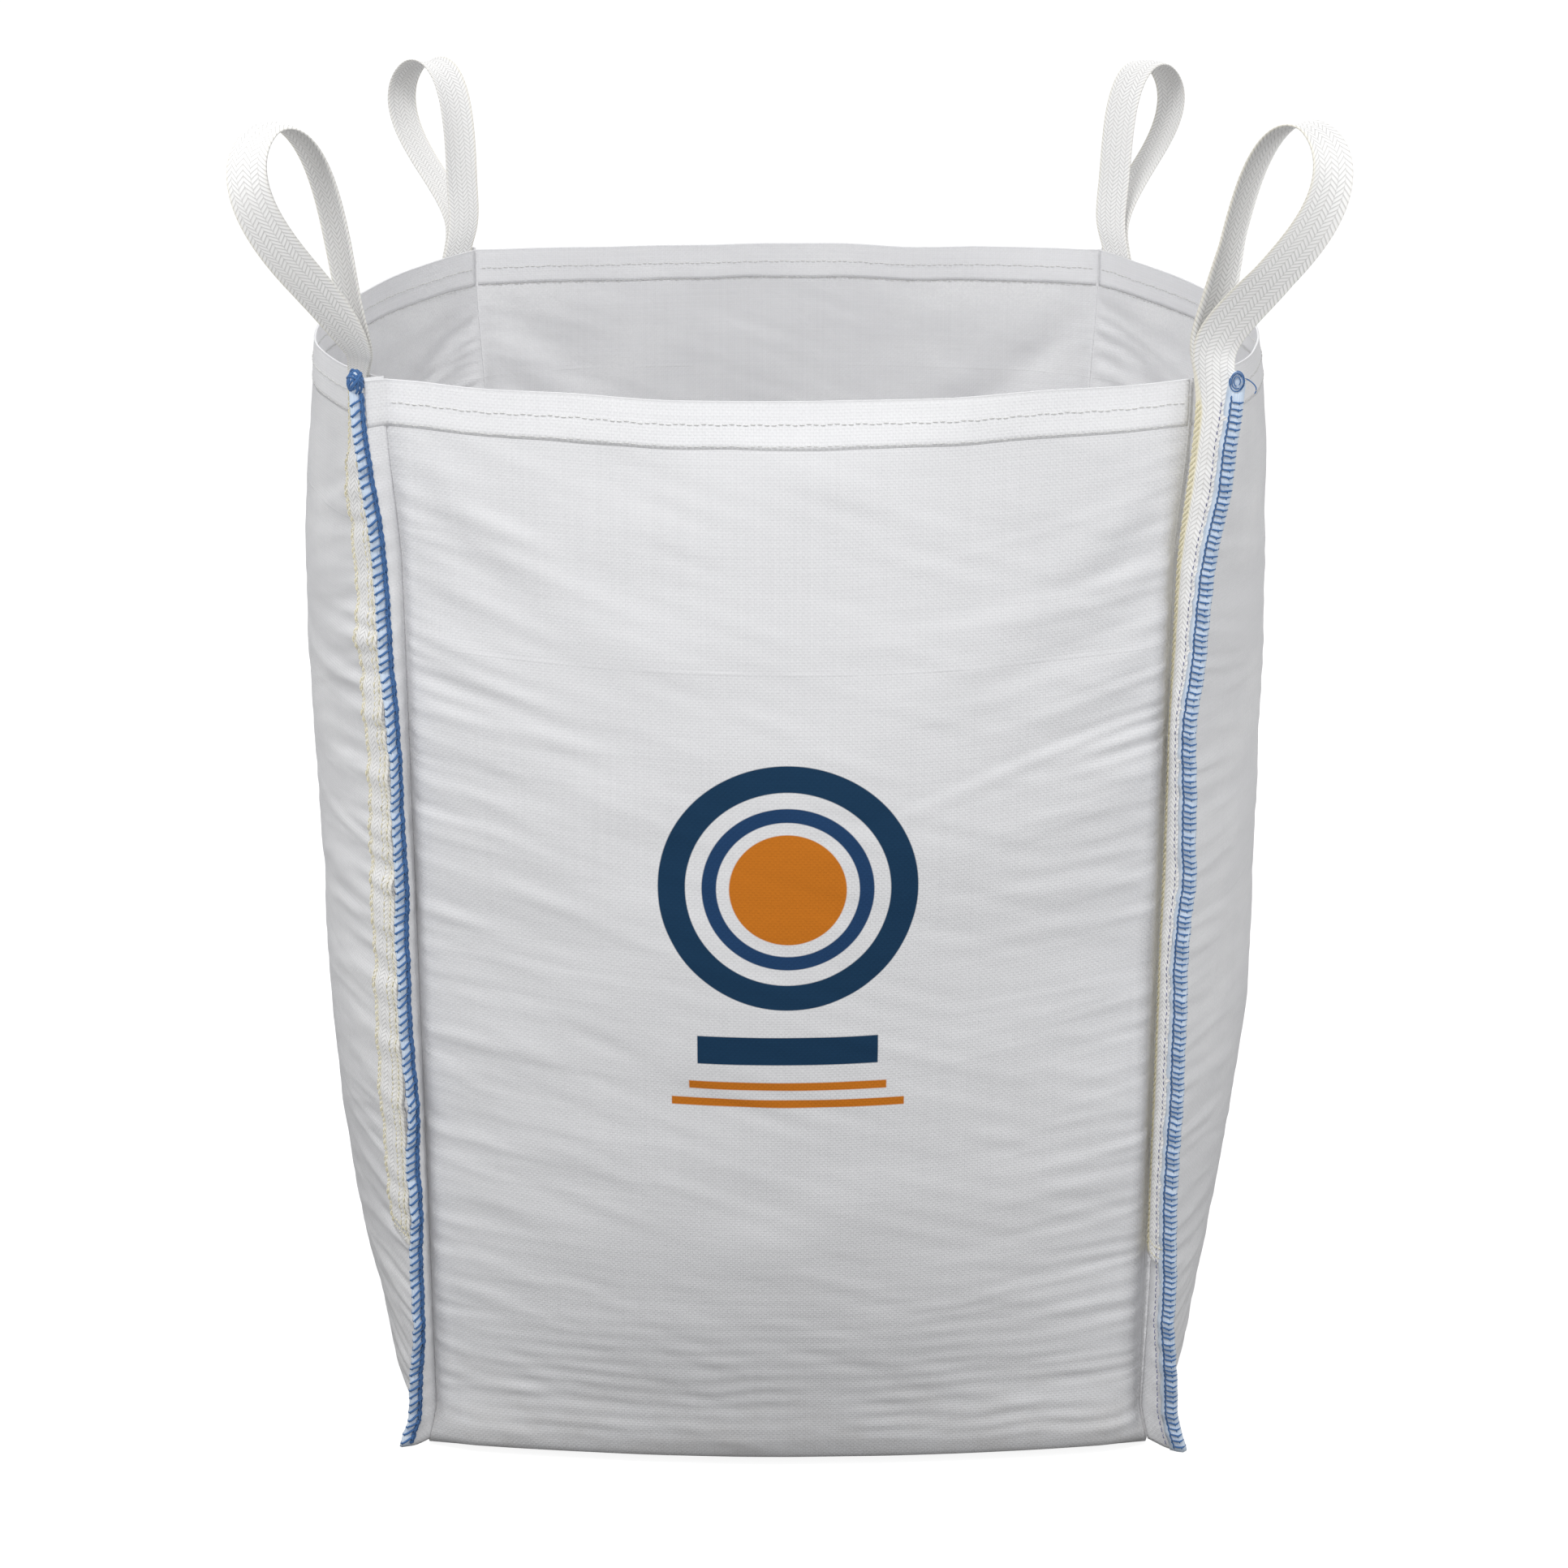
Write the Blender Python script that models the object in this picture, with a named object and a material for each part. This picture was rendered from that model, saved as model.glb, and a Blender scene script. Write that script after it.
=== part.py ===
"""A woven bulk bag (FIBC): U-panel body, four corner seams and four lifting loops.

Metres, +Z up. The origin is on the floor under the middle of the bag, and the
front panel faces -Y. Every cloth part is a thin closed shell cut from the same
filled shape: panels, turned hems, seam fins, overedge threads and webbing legs
are offsets of it, kept a small gap apart. Each lifting loop turns about the
line where its webbing leaves the rim.
"""

import math

import bmesh
import bpy
from mathutils import Matrix, Vector

# Filled shape
RIM_HEIGHT = 1.30           # rim above the floor at the corners
RIM_SAG = 0.012             # the rim is this much lower midway between corners
CORNER_X = 0.432            # half distance between the corner seams, left to right
CORNER_Y = 0.450            # half distance between the corner seams, front to rear
REAR_PINCH = 0.012          # the rear corners stand this much closer at the rim
FOLD_RADIUS = 0.024         # front and rear panels roll under with this radius
SIDE_BOTTOM = 0.0005        # the side panels reach down to here

# Bulge of each panel at mid width: (at the floor, largest, at the rim, height of
# the largest, power of the curve below it, power of the curve above it)
SIDE_BULGE = (0.063, 0.159, 0.135, 0.95, 5.0, 2.2)
FACE_BULGE = (0.030, 0.125, 0.060, 0.75, 3.0, 2.0)

# Cloth and webbing
CLOTH = 0.0020              # shell thickness of a panel
GAP = 0.0003                # clearance between neighbouring cloth parts
LEG_CLEAR = 0.0014          # the webbing's flat facets keep this off the curved panel
CORNER_CLEAR = 0.006        # a panel stops this far short of its corner seam
HEM_DEPTH = 0.050           # height of the turned-in hem
WEB_WIDTH = 0.050           # width of the lifting webbing
WEB_THICK = 0.0022          # thickness of one layer of webbing
LEG_BOTTOM = 0.26           # the sewn legs end this high
LEG_INSET = 0.012           # from the corner seam to the near edge of a leg

# Corner and base seams
FIN_ROOT = 0.004            # the fin starts this far outside the corner
FIN_TIP = 0.045             # and ends this far outside it
FIN_THICK = 0.0024
THREAD_COVER = 0.015        # the overedge thread wraps this much of the fin
THREAD_THICK = 0.0010
BASE_FIN_ROOT = 0.003
BASE_FIN_WIDTH = 0.022
BASE_SEAM_REACH = 0.94      # part of the side that the base seam runs along

# Lifting loops
HINGE_HEIGHT = 1.325        # the webbing bends here, just above the rim
HINGE_OUT = 0.012           # and this far outside the corner
LEG_STOP = 0.006            # the legs end this far below the bend line
LOOP_START = 0.004          # and the loops start this far above it, free to turn
FRONT_LOOP_LENGTH = 0.277   # from the bend to the crown
REAR_LOOP_LENGTH = 0.235
LOOP_WIDTH = 0.125          # widest, across both strands
LOOP_LEAN = math.radians(24)
CROWN_FLAT = 0.024          # length of the flat inner face at the crown
LOOP_STEPS = 34

PANEL_COLUMNS = 14
PANEL_ROWS = 16
FOLD_ROWS = 4
SEAM_ROWS = 18

CLOTH_WHITE = (0.80, 0.80, 0.81)
HEM_WHITE = (0.86, 0.86, 0.87)
WEB_WHITE = (0.74, 0.73, 0.71)
THREAD_BLUE = (0.05, 0.11, 0.36)

CORNERS = {
    "front_left": (-1, -1),
    "front_right": (1, -1),
    "rear_right": (1, 1),
    "rear_left": (-1, 1),
}
PANELS = {
    "front": ("face", -1),
    "rear": ("face", 1),
    "left_side": ("side", -1),
    "right_side": ("side", 1),
}
# Each corner's webbing is sewn to the side panel, next to the corner seam.
LEG_PANEL = {
    "front_left": ("left_side", -1),
    "front_right": ("right_side", -1),
    "rear_right": ("right_side", 1),
    "rear_left": ("left_side", 1),
}


def make_material(name, colour, roughness):
    material = bpy.data.materials.new(name)
    material.use_nodes = True
    shader = material.node_tree.nodes["Principled BSDF"]
    shader.inputs["Base Color"].default_value = (*colour, 1.0)
    shader.inputs["Roughness"].default_value = roughness
    shader.inputs["Metallic"].default_value = 0.0
    return material


def bulge(profile, z):
    """How far a panel stands out at mid width, at height z."""
    floor, largest, rim, peak, low_power, high_power = profile
    if z < peak:
        return largest - (largest - floor) * ((peak - z) / peak) ** low_power
    return largest - (largest - rim) * ((z - peak) / (RIM_HEIGHT - peak)) ** high_power


def fold_inset(z):
    """How far the front and rear roll in under the bag, at height z."""
    if z >= FOLD_RADIUS:
        return 0.0
    drop = FOLD_RADIUS - z
    return FOLD_RADIUS - math.sqrt(max(FOLD_RADIUS ** 2 - drop ** 2, 0.0))


def corner_x(y_sign, z):
    """Half distance between the corner seams of the front or the rear."""
    if y_sign < 0:
        return CORNER_X
    return CORNER_X - REAR_PINCH * z / RIM_HEIGHT


def surface(panel, t, z):
    """A point of the bag's outer surface: t runs from -1 to 1 along +X or +Y."""
    kind, sign = PANELS[panel]
    low_y = CORNER_Y - fold_inset(z)
    height = z - RIM_SAG * (1 - t * t) * (z / RIM_HEIGHT) ** 2
    if kind == "face":
        out = low_y + bulge(FACE_BULGE, z) * (1 - t * t)
        return Vector((corner_x(sign, z) * t, sign * out, height))
    half = (corner_x(-1, z) * (1 - t) + corner_x(1, z) * (1 + t)) / 2
    out = half + bulge(SIDE_BULGE, z) * (1 - t * t)
    return Vector((sign * out, low_y * t, height))


def outward(panel, t, z):
    """Unit normal of the outer surface at (t, z), pointing out of the bag."""
    step = 0.002
    low = max(z - step, 0.0)
    high = min(z + step, RIM_HEIGHT)
    along = surface(panel, t + step, z) - surface(panel, t - step, z)
    up = surface(panel, t, high) - surface(panel, t, low)
    normal = along.cross(up).normalized()
    kind, sign = PANELS[panel]
    guide = Vector((0, sign, 0)) if kind == "face" else Vector((sign, 0, 0))
    if z < FOLD_RADIUS:
        guide += Vector((0, 0, -1))
    return normal if normal.dot(guide) > 0 else -normal


def offset_point(panel, t, z, offset):
    return surface(panel, t, z) + outward(panel, t, z) * offset


def even_steps(low, high, rows):
    return [low + (high - low) * i / rows for i in range(rows + 1)]


def panel_heights(low):
    """Rows of a panel from low to the rim, with one where the turned hem ends."""
    return even_steps(low, RIM_HEIGHT - HEM_DEPTH, PANEL_ROWS) + [RIM_HEIGHT]


def folded_heights():
    """Rows of a front or rear panel: even angles round the fold, then even steps."""
    rows = []
    for i in range(FOLD_ROWS):
        angle = math.radians(8 + (90 - 8) * i / FOLD_ROWS)
        rows.append(FOLD_RADIUS * (1 - math.cos(angle)))
    return rows + panel_heights(FOLD_RADIUS)


def shell(name, outer, inner, material):
    """A closed solid between two grids of points with the same rows and columns."""
    bm = bmesh.new()
    grids = []
    for grid in (outer, inner):
        grids.append([[bm.verts.new(point) for point in row] for row in grid])
    rows = len(outer)
    columns = len(outer[0])
    for side, grid in enumerate(grids):
        for r in range(rows - 1):
            for c in range(columns - 1):
                quad = [grid[r][c], grid[r][c + 1], grid[r + 1][c + 1], grid[r + 1][c]]
                bm.faces.new(quad if side == 0 else quad[::-1])
    border = [(0, c) for c in range(columns)]
    border += [(r, columns - 1) for r in range(1, rows)]
    border += [(rows - 1, c) for c in range(columns - 2, -1, -1)]
    border += [(r, 0) for r in range(rows - 2, 0, -1)]
    for i, (r, c) in enumerate(border):
        r2, c2 = border[(i + 1) % len(border)]
        quad = [grids[0][r2][c2], grids[0][r][c], grids[1][r][c], grids[1][r2][c2]]
        bm.faces.new(quad)
    return finish_mesh(bm, name, material)


def sweep(name, sections, material):
    """A closed solid through a list of matching cross-section outlines."""
    bm = bmesh.new()
    rings = [[bm.verts.new(point) for point in section] for section in sections]
    count = len(rings[0])
    for low, high in zip(rings, rings[1:]):
        for i in range(count):
            j = (i + 1) % count
            bm.faces.new([low[i], low[j], high[j], high[i]])
    bm.faces.new(rings[0][::-1])
    bm.faces.new(rings[-1])
    return finish_mesh(bm, name, material)


def finish_mesh(bm, name, material):
    bmesh.ops.triangulate(bm, faces=bm.faces[:])
    bmesh.ops.recalc_face_normals(bm, faces=bm.faces[:])
    mesh = bpy.data.meshes.new(name)
    bm.to_mesh(mesh)
    bm.free()
    mesh.materials.append(material)
    mesh.shade_smooth()
    mesh.set_sharp_from_angle(angle=math.radians(30))
    obj = bpy.data.objects.new(name, mesh)
    bpy.context.scene.collection.objects.link(obj)
    return obj


def cloth_patch(name, panel, t_range, heights, offsets, columns, material):
    """A patch of cloth that follows a panel between two offsets from its surface."""
    t_low, t_high = t_range
    grids = []
    for offset in offsets:
        grid = []
        for z in heights:
            row = []
            for c in range(columns + 1):
                t = t_low + (t_high - t_low) * c / columns
                row.append(offset_point(panel, t, z, offset))
            grid.append(row)
        grids.append(grid)
    return shell(name, grids[0], grids[1], material)


def panel_reach(panel):
    """The largest t of a panel, just short of its corner seams."""
    half = CORNER_X if PANELS[panel][0] == "face" else CORNER_Y
    return 1 - CORNER_CLEAR / half


def make_panel(panel, material):
    reach = panel_reach(panel)
    if PANELS[panel][0] == "face":
        heights = folded_heights()
    else:
        heights = panel_heights(SIDE_BOTTOM)
    cloth_patch(panel + "_panel", panel, (-reach, reach), heights, (0, -CLOTH),
                PANEL_COLUMNS, material)


def make_hem(panel, material):
    reach = panel_reach(panel)
    heights = [RIM_HEIGHT - HEM_DEPTH, RIM_HEIGHT]
    near = -CLOTH - GAP
    cloth_patch(panel + "_hem", panel, (-reach, reach), heights, (near, near - CLOTH),
                PANEL_COLUMNS, material)


def make_base(material):
    """The flat floor of the bag, between the two folds and the two side panels."""
    start = folded_heights()[0]
    outline = []
    for y_sign in (-1, 1):
        panel = "front" if y_sign < 0 else "rear"
        reach = panel_reach(panel) - CORNER_CLEAR / CORNER_X
        for c in range(PANEL_COLUMNS + 1):
            t = -reach + 2 * reach * c / PANEL_COLUMNS
            point = surface(panel, t * -y_sign, start)
            outline.append(Vector((point.x, point.y - y_sign * 2 * CLOTH, 0)))
        side = "right_side" if y_sign < 0 else "left_side"
        for r in range(1, 10):
            t = (-1 + 0.2 * r) * -y_sign * BASE_SEAM_REACH
            point = surface(side, t, 0.0)
            inward = -math.copysign(2 * CLOTH, point.x)
            outline.append(Vector((point.x + inward, point.y, 0)))
    bottom = [Vector(point) for point in outline]
    top = [point + Vector((0, 0, CLOTH)) for point in outline]
    sweep("base_panel", [bottom, top], material)


def diagonal(corner):
    x_sign, y_sign = CORNERS[corner]
    return Vector((x_sign, y_sign, 0)).normalized()


def corner_point(corner, z):
    x_sign, y_sign = CORNERS[corner]
    return Vector((x_sign * corner_x(y_sign, z), y_sign * (CORNER_Y - fold_inset(z)), z))


def seam_sections(corner, outline, low, high):
    """Repeats an outline (out along the diagonal, across it) up a corner seam."""
    out = diagonal(corner)
    across = Vector((-out.y, out.x, 0))
    sections = []
    for z in even_steps(low, high, SEAM_ROWS):
        root = corner_point(corner, z)
        sections.append([root + out * d + across * w for d, w in outline])
    return sections


def channel_outline(tip, reach, inner, wall):
    """A thin U that wraps the edge of a fin: tip is the fin's edge."""
    outer = inner + wall
    end = tip + GAP
    start = tip - reach
    return [
        (start, -outer), (end + wall, -outer), (end + wall, outer), (start, outer),
        (start, inner), (end, inner), (end, -inner), (start, -inner),
    ]


def make_corner_seam(corner, cloth, thread):
    half = FIN_THICK / 2
    fin = [(FIN_ROOT, -half), (FIN_TIP, -half), (FIN_TIP, half), (FIN_ROOT, half)]
    low = 0.006
    sweep(corner + "_seam_fin", seam_sections(corner, fin, low, RIM_HEIGHT), cloth)
    wrap = channel_outline(FIN_TIP, THREAD_COVER, half + GAP, THREAD_THICK)
    sweep(corner + "_seam_thread", seam_sections(corner, wrap, low, RIM_HEIGHT), thread)


def make_base_seam(side, cloth, thread):
    """The seam between base and side panel, lying flat just above the floor."""
    sign = -1 if side == "left" else 1
    half = FIN_THICK / 2
    middle = half + THREAD_THICK + 2 * GAP
    tip = BASE_FIN_WIDTH
    root = BASE_FIN_ROOT
    fin = [(root, -half), (tip, -half), (tip, half), (root, half)]
    wrap = channel_outline(tip, THREAD_COVER / 2, half + GAP, THREAD_THICK)
    for name, outline, material in (("fin", fin, cloth), ("thread", wrap, thread)):
        sections = []
        for r in range(SEAM_ROWS + 1):
            t = BASE_SEAM_REACH * (-1 + 2 * r / SEAM_ROWS)
            edge = surface(side + "_side", t, 0.0)
            ring = []
            for d, w in outline:
                ring.append(Vector((edge.x + sign * d, edge.y, middle + w)))
            sections.append(ring)
        sweep(f"{side}_base_seam_{name}", sections, material)


def leg_section(corner, z, layer):
    """Cross-section of a sewn leg: layer 0 lies on the panel and 1 on layer 0."""
    panel, end = LEG_PANEL[corner]
    half = CORNER_X if PANELS[panel][0] == "face" else CORNER_Y
    near = 1 - LEG_INSET / half
    far = near - WEB_WIDTH / half
    low = LEG_CLEAR + layer * (WEB_THICK + GAP)
    high = low + WEB_THICK
    ring = [
        offset_point(panel, near * end, z, low), offset_point(panel, near * end, z, high),
        offset_point(panel, far * end, z, high), offset_point(panel, far * end, z, low),
    ]
    return ring


def bend_section(corner, layer):
    """Cross-section of a leg's upper end, square to the corner's diagonal."""
    out = diagonal(corner)
    across = Vector((-out.y, out.x, 0))
    panel, end = LEG_PANEL[corner]
    near = surface(panel, end, RIM_HEIGHT)
    far = surface(panel, end * 0.9, RIM_HEIGHT)
    if across.dot(far - near) > 0:
        across = -across
    centre = corner_point(corner, RIM_HEIGHT) + out * HINGE_OUT
    centre.z = HINGE_HEIGHT - LEG_STOP
    low = (layer - 1) * WEB_THICK + (layer - 0.5) * GAP
    high = low + WEB_THICK
    reach = WEB_WIDTH / 2
    return [
        centre + across * reach + out * low, centre + across * reach + out * high,
        centre - across * reach + out * high, centre - across * reach + out * low,
    ]


def make_legs(corner, material):
    for layer, name in enumerate(("inner", "outer")):
        sections = []
        for z in even_steps(LEG_BOTTOM, RIM_HEIGHT, SEAM_ROWS):
            sections.append(leg_section(corner, z, layer))
        top = [point.copy() for point in sections[-1]]
        low = min(point.z for point in top)
        for point in top:
            point.z = RIM_HEIGHT + 0.003 + (point.z - low)
        sections.append(top)
        sections.append(bend_section(corner, layer))
        sweep(f"{corner}_{name}_leg", sections, material)


def loop_path(length):
    """Middle line of a loop as (across, up) in its own plane, base to base."""
    spread = 0.7698         # largest value of sin(2a) * sin(a) over a loop
    clear = (WEB_THICK + GAP) / 2
    half_width = LOOP_WIDTH / 2 - clear
    path = []
    for i in range(LOOP_STEPS + 1):
        angle = math.pi * i / LOOP_STEPS
        side = math.sin(2 * angle) * math.sin(angle) / spread
        lift = LOOP_START + (length - LOOP_START) * (1 - math.cos(2 * angle)) / 2
        sign = 1 if i <= LOOP_STEPS // 2 else -1
        path.append((side * half_width + sign * clear, lift))
    crown = LOOP_STEPS // 2
    flat = CROWN_FLAT / 2
    path[crown] = (flat, length)
    path.insert(crown + 1, (-flat, length))
    return path


def offset_path(path, distance):
    """The path moved sideways by a distance, to its left."""
    moved = []
    for i, (a, b) in enumerate(path):
        a0, b0 = path[max(i - 1, 0)]
        a1, b1 = path[min(i + 1, len(path) - 1)]
        if i == 0 or i == len(path) - 1:
            a0, b0, a1, b1 = 0, 0, 0, (1 if i == 0 else -1)
        length = math.hypot(a1 - a0, b1 - b0)
        moved.append((a - (b1 - b0) / length * distance, b + (a1 - a0) / length * distance))
    return moved


def make_loop(corner, material):
    """One loop of webbing, with its origin on its hinge line."""
    length = FRONT_LOOP_LENGTH if corner.startswith("front") else REAR_LOOP_LENGTH
    path = loop_path(length)
    inside = offset_path(path, WEB_THICK / 2)
    outside = offset_path(path, -WEB_THICK / 2)
    for line in (inside, outside):
        crown = LOOP_STEPS // 2
        edge = length + (-1 if line is inside else 1) * WEB_THICK / 2
        for i in (crown, crown + 1):
            line[i] = (line[i][0], edge)
    half = WEB_WIDTH / 2
    sections = []
    for (a, b), (c, d) in zip(inside, outside):
        sections.append([
            Vector((a, -half, b)), Vector((a, half, b)), Vector((c, half, d)), Vector((c, -half, d)),
        ])
    loop = sweep(corner + "_loop", sections, material)
    out = diagonal(corner)
    hinge = corner_point(corner, RIM_HEIGHT) + out * HINGE_OUT
    hinge.z = HINGE_HEIGHT
    heading = Matrix.Rotation(math.atan2(out.y, out.x), 4, "Z")
    lean = Matrix.Rotation(LOOP_LEAN, 4, "Y")
    loop.matrix_world = Matrix.Translation(hinge) @ heading @ lean
    return loop


def main():
    for obj in list(bpy.data.objects):
        bpy.data.objects.remove(obj, do_unlink=True)
    for panel in PANELS:
        make_panel(panel, make_material(panel + "_cloth", CLOTH_WHITE, 0.62))
        make_hem(panel, make_material(panel + "_hem_cloth", HEM_WHITE, 0.60))
    make_base(make_material("base_cloth", CLOTH_WHITE, 0.62))
    for corner in CORNERS:
        cloth = make_material(corner + "_fin_cloth", HEM_WHITE, 0.60)
        thread = make_material(corner + "_thread", THREAD_BLUE, 0.70)
        make_corner_seam(corner, cloth, thread)
        webbing = make_material(corner + "_webbing", WEB_WHITE, 0.80)
        make_legs(corner, webbing)
        make_loop(corner, webbing)
    for side in ("left", "right"):
        cloth = make_material(side + "_base_fin_cloth", HEM_WHITE, 0.60)
        thread = make_material(side + "_base_thread", THREAD_BLUE, 0.70)
        make_base_seam(side, cloth, thread)


main()
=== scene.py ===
"""The looks of the bulk bag: woven panels, hems, seams, webbing loops, print, floor, light and camera."""

import math

import bpy
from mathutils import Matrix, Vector
import numpy as np


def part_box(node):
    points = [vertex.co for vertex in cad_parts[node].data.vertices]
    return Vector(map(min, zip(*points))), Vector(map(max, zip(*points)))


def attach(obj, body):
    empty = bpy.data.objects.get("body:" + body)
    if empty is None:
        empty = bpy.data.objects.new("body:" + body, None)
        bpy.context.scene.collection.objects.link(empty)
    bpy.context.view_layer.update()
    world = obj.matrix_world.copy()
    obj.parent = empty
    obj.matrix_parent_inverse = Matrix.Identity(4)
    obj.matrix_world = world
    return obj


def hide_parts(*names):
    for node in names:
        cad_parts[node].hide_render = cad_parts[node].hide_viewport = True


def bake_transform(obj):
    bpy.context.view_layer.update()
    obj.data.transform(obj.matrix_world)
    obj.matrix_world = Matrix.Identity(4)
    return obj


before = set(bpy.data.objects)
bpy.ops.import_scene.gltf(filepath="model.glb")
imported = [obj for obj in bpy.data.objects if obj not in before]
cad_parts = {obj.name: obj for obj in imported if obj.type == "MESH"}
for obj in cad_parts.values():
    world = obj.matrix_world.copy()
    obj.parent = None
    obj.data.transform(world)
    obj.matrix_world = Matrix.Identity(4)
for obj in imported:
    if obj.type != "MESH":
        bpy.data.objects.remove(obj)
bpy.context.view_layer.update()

SEED = 7

# ---- the filled shape, as the CAD model has it (metres) ----
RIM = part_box("front_panel")[1].z
RIM_SAG = 0.012
CORNER_X = 0.432
CORNER_Y = 0.450
REAR_PINCH = 0.012
FOLD_RADIUS = 0.024
SIDE_BULGE = (0.063, 0.159, 0.135, 0.95, 5.0, 2.2)
FACE_BULGE = (0.030, 0.125, 0.060, 0.75, 3.0, 2.0)
HEM_DEPTH = 0.050
WEB_WIDTH = 0.050
WEB_BAND = WEB_WIDTH / 6     # width of one band of the herringbone
WEB_RIB = 0.0056
LEG_BOTTOM = 0.26
HINGE_HEIGHT = 1.325
HINGE_OUT = 0.012

# ---- cloth detail ----
CLOTH = 0.0009              # thickness of one layer of woven cloth
SEAM_DIP = 0.014            # the panels draw in this far at a corner seam
SEAM_DIP_WIDTH = 0.016
FIN_WIDTH = {"front_left": 0.040, "front_right": 0.052, "rear_right": 0.042, "rear_left": 0.040}
STITCH_PITCH = 0.0104       # overedge stitches along the corner seams
WEB_LAYER = 0.0019

PANELS = {"front": ("face", -1), "rear": ("face", 1), "left_side": ("side", -1), "right_side": ("side", 1)}
CORNERS = {"front_left": (-1, -1), "front_right": (1, -1), "rear_right": (1, 1), "rear_left": (-1, 1)}

# Heading of each corner's fin, in degrees from the X axis towards the front or
# rear, as (height, at the root, at the edge): the fins turn as the seam twists.
FIN_HEADING = {
    "front_left": ((0.0, 42, 25), (0.06, 58, 30), (0.12, 66, 30), (0.18, 74, 44), (0.24, 80, 32), (0.31, 83, 50),
                   (0.37, 86, 30), (0.46, 84, 58), (0.56, 80, 38), (0.62, 79, 48), (0.70, 84, 26), (0.78, 78, 36),
                   (0.86, 77, 62), (0.94, 74, 34), (1.02, 70, 28), (1.13, 60, 28),
                   (1.20, 50, 29), (1.25, 42, 30), (1.30, 34, 30)),
    "front_right": ((0.0, 44, 16), (0.04, 50, 18), (0.08, 62, 22), (0.13, 74, 26), (0.18, 84, 30), (0.36, 90, 32),
                    (0.54, 88, 32), (0.72, 84, 32), (0.90, 88, 32), (0.97, 87, 34), (1.02, 83, 32), (1.08, 77, 30),
                    (1.14, 69, 26), (1.20, 61, 22), (1.25, 52, 16), (1.30, 46, 12)),
    "rear_right": ((0.0, 40, 30), (0.2, 60, 35), (0.6, 48, 38), (1.0, 65, 45), (1.25, 50, 40), (1.3, 40, 35)),
    "rear_left": ((0.0, 30, 20), (0.3, 55, 32), (0.7, 72, 46), (1.0, 54, 40), (1.25, 48, 38), (1.3, 38, 34)),
}
FIN_SHIFT = {"front_left": 0.0, "front_right": 0.009, "rear_right": 0.004, "rear_left": 0.0}
OVEREDGE_SLANT = {"front_left": 0.0070, "front_right": 0.0015, "rear_right": 0.0070, "rear_left": 0.0020}
OVEREDGE_RADIUS = {"front_left": 0.00150, "front_right": 0.00118, "rear_right": 0.00150, "rear_left": 0.00112}
# Each loop's reach above its hinge, its outward lean in degrees and its breadth.
LOOP_SHAPE = {"front_left": (0.281, 27, 0.088), "front_right": (0.281, 27, 0.090),
              "rear_right": (0.235, 25, 0.104), "rear_left": (0.235, 24, 0.108)}
LOOP_TWIST = {"front_left": (0.60, 0.05), "front_right": (0.60, 0.08), "rear_right": (0.15, 0.05), "rear_left": (0.10, 0.05)}
LOOP_BASE_TURN = {"front_left": -0.10, "front_right": 0.70, "rear_right": 0.0, "rear_left": 0.0}
# How far each loop's foot stands off its hinge, along X and Y.
LOOP_FOOT = {"front_left": (-0.012, 0.004), "front_right": (0.0, 0.0), "rear_right": (0.0, -0.022), "rear_left": (0.0, -0.022)}
LOOP_CUP = 0.0055
LEG_ON_FIN = {"front_right": 0.0046}    # webbing sewn on the fin's front face, and its thickness there
LEG_SPLAY = {"front_left": 0.016}     # how much further from the seam the webbing is at the rim
LEG_INSET = {"front_left": 0.020, "front_right": -0.004, "rear_right": 0.012, "rear_left": 0.012}


# ---------------------------------------------------------------- noise
def lattice_noise(seed, a, b, scale_a, scale_b):
    """Smooth noise from -1 to 1 at the points (a, b), with cells of the given sizes."""
    rng = np.random.default_rng(seed)
    table = rng.uniform(-1, 1, (64, 64))
    a = np.asarray(a, float) / scale_a + 31.3
    b = np.asarray(b, float) / scale_b + 17.7
    ia, ib = np.floor(a).astype(int), np.floor(b).astype(int)
    fa, fb = a - ia, b - ib
    fa, fb = fa * fa * (3 - 2 * fa), fb * fb * (3 - 2 * fb)
    p00, p10 = table[ia % 64, ib % 64], table[(ia + 1) % 64, ib % 64]
    p01, p11 = table[ia % 64, (ib + 1) % 64], table[(ia + 1) % 64, (ib + 1) % 64]
    low, high = p00 + (p10 - p00) * fa, p01 + (p11 - p01) * fa
    return low + (high - low) * fb


def smooth(low, high, value):
    x = np.clip((np.asarray(value, float) - low) / (high - low), 0, 1)
    return x * x * (3 - 2 * x)


def unit(v):
    v = np.asarray(v, float)
    return v / np.maximum(np.linalg.norm(v, axis=-1, keepdims=True), 1e-12)


# ---------------------------------------------------------------- shape
def bulge(profile, z):
    floor, largest, rim, peak, low_power, high_power = profile
    low = largest - (largest - floor) * (np.clip(peak - z, 0, None) / peak) ** low_power
    high = largest - (largest - rim) * (np.clip(z - peak, 0, None) / (RIM - peak)) ** high_power
    return np.where(z < peak, low, high)


def fold_inset(z):
    drop = np.clip(FOLD_RADIUS - z, 0, FOLD_RADIUS)
    return FOLD_RADIUS - np.sqrt(FOLD_RADIUS ** 2 - drop ** 2)


def corner_x(y_sign, z):
    return CORNER_X - (REAR_PINCH * z / RIM if y_sign > 0 else 0 * z)


def corner_point(corner, z):
    """Where the two panels meet, drawn in by the seam."""
    x_sign, y_sign = CORNERS[corner]
    z = np.asarray(z, float)
    dip = SEAM_DIP * smooth(0.0, 0.06, z) * (1 - smooth(RIM - 0.22, RIM - 0.03, z))
    x = x_sign * (corner_x(y_sign, z) - dip * 0.7071)
    y = y_sign * (CORNER_Y - fold_inset(z) - dip * 0.7071)
    return np.stack([x, y, z], -1)


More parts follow.
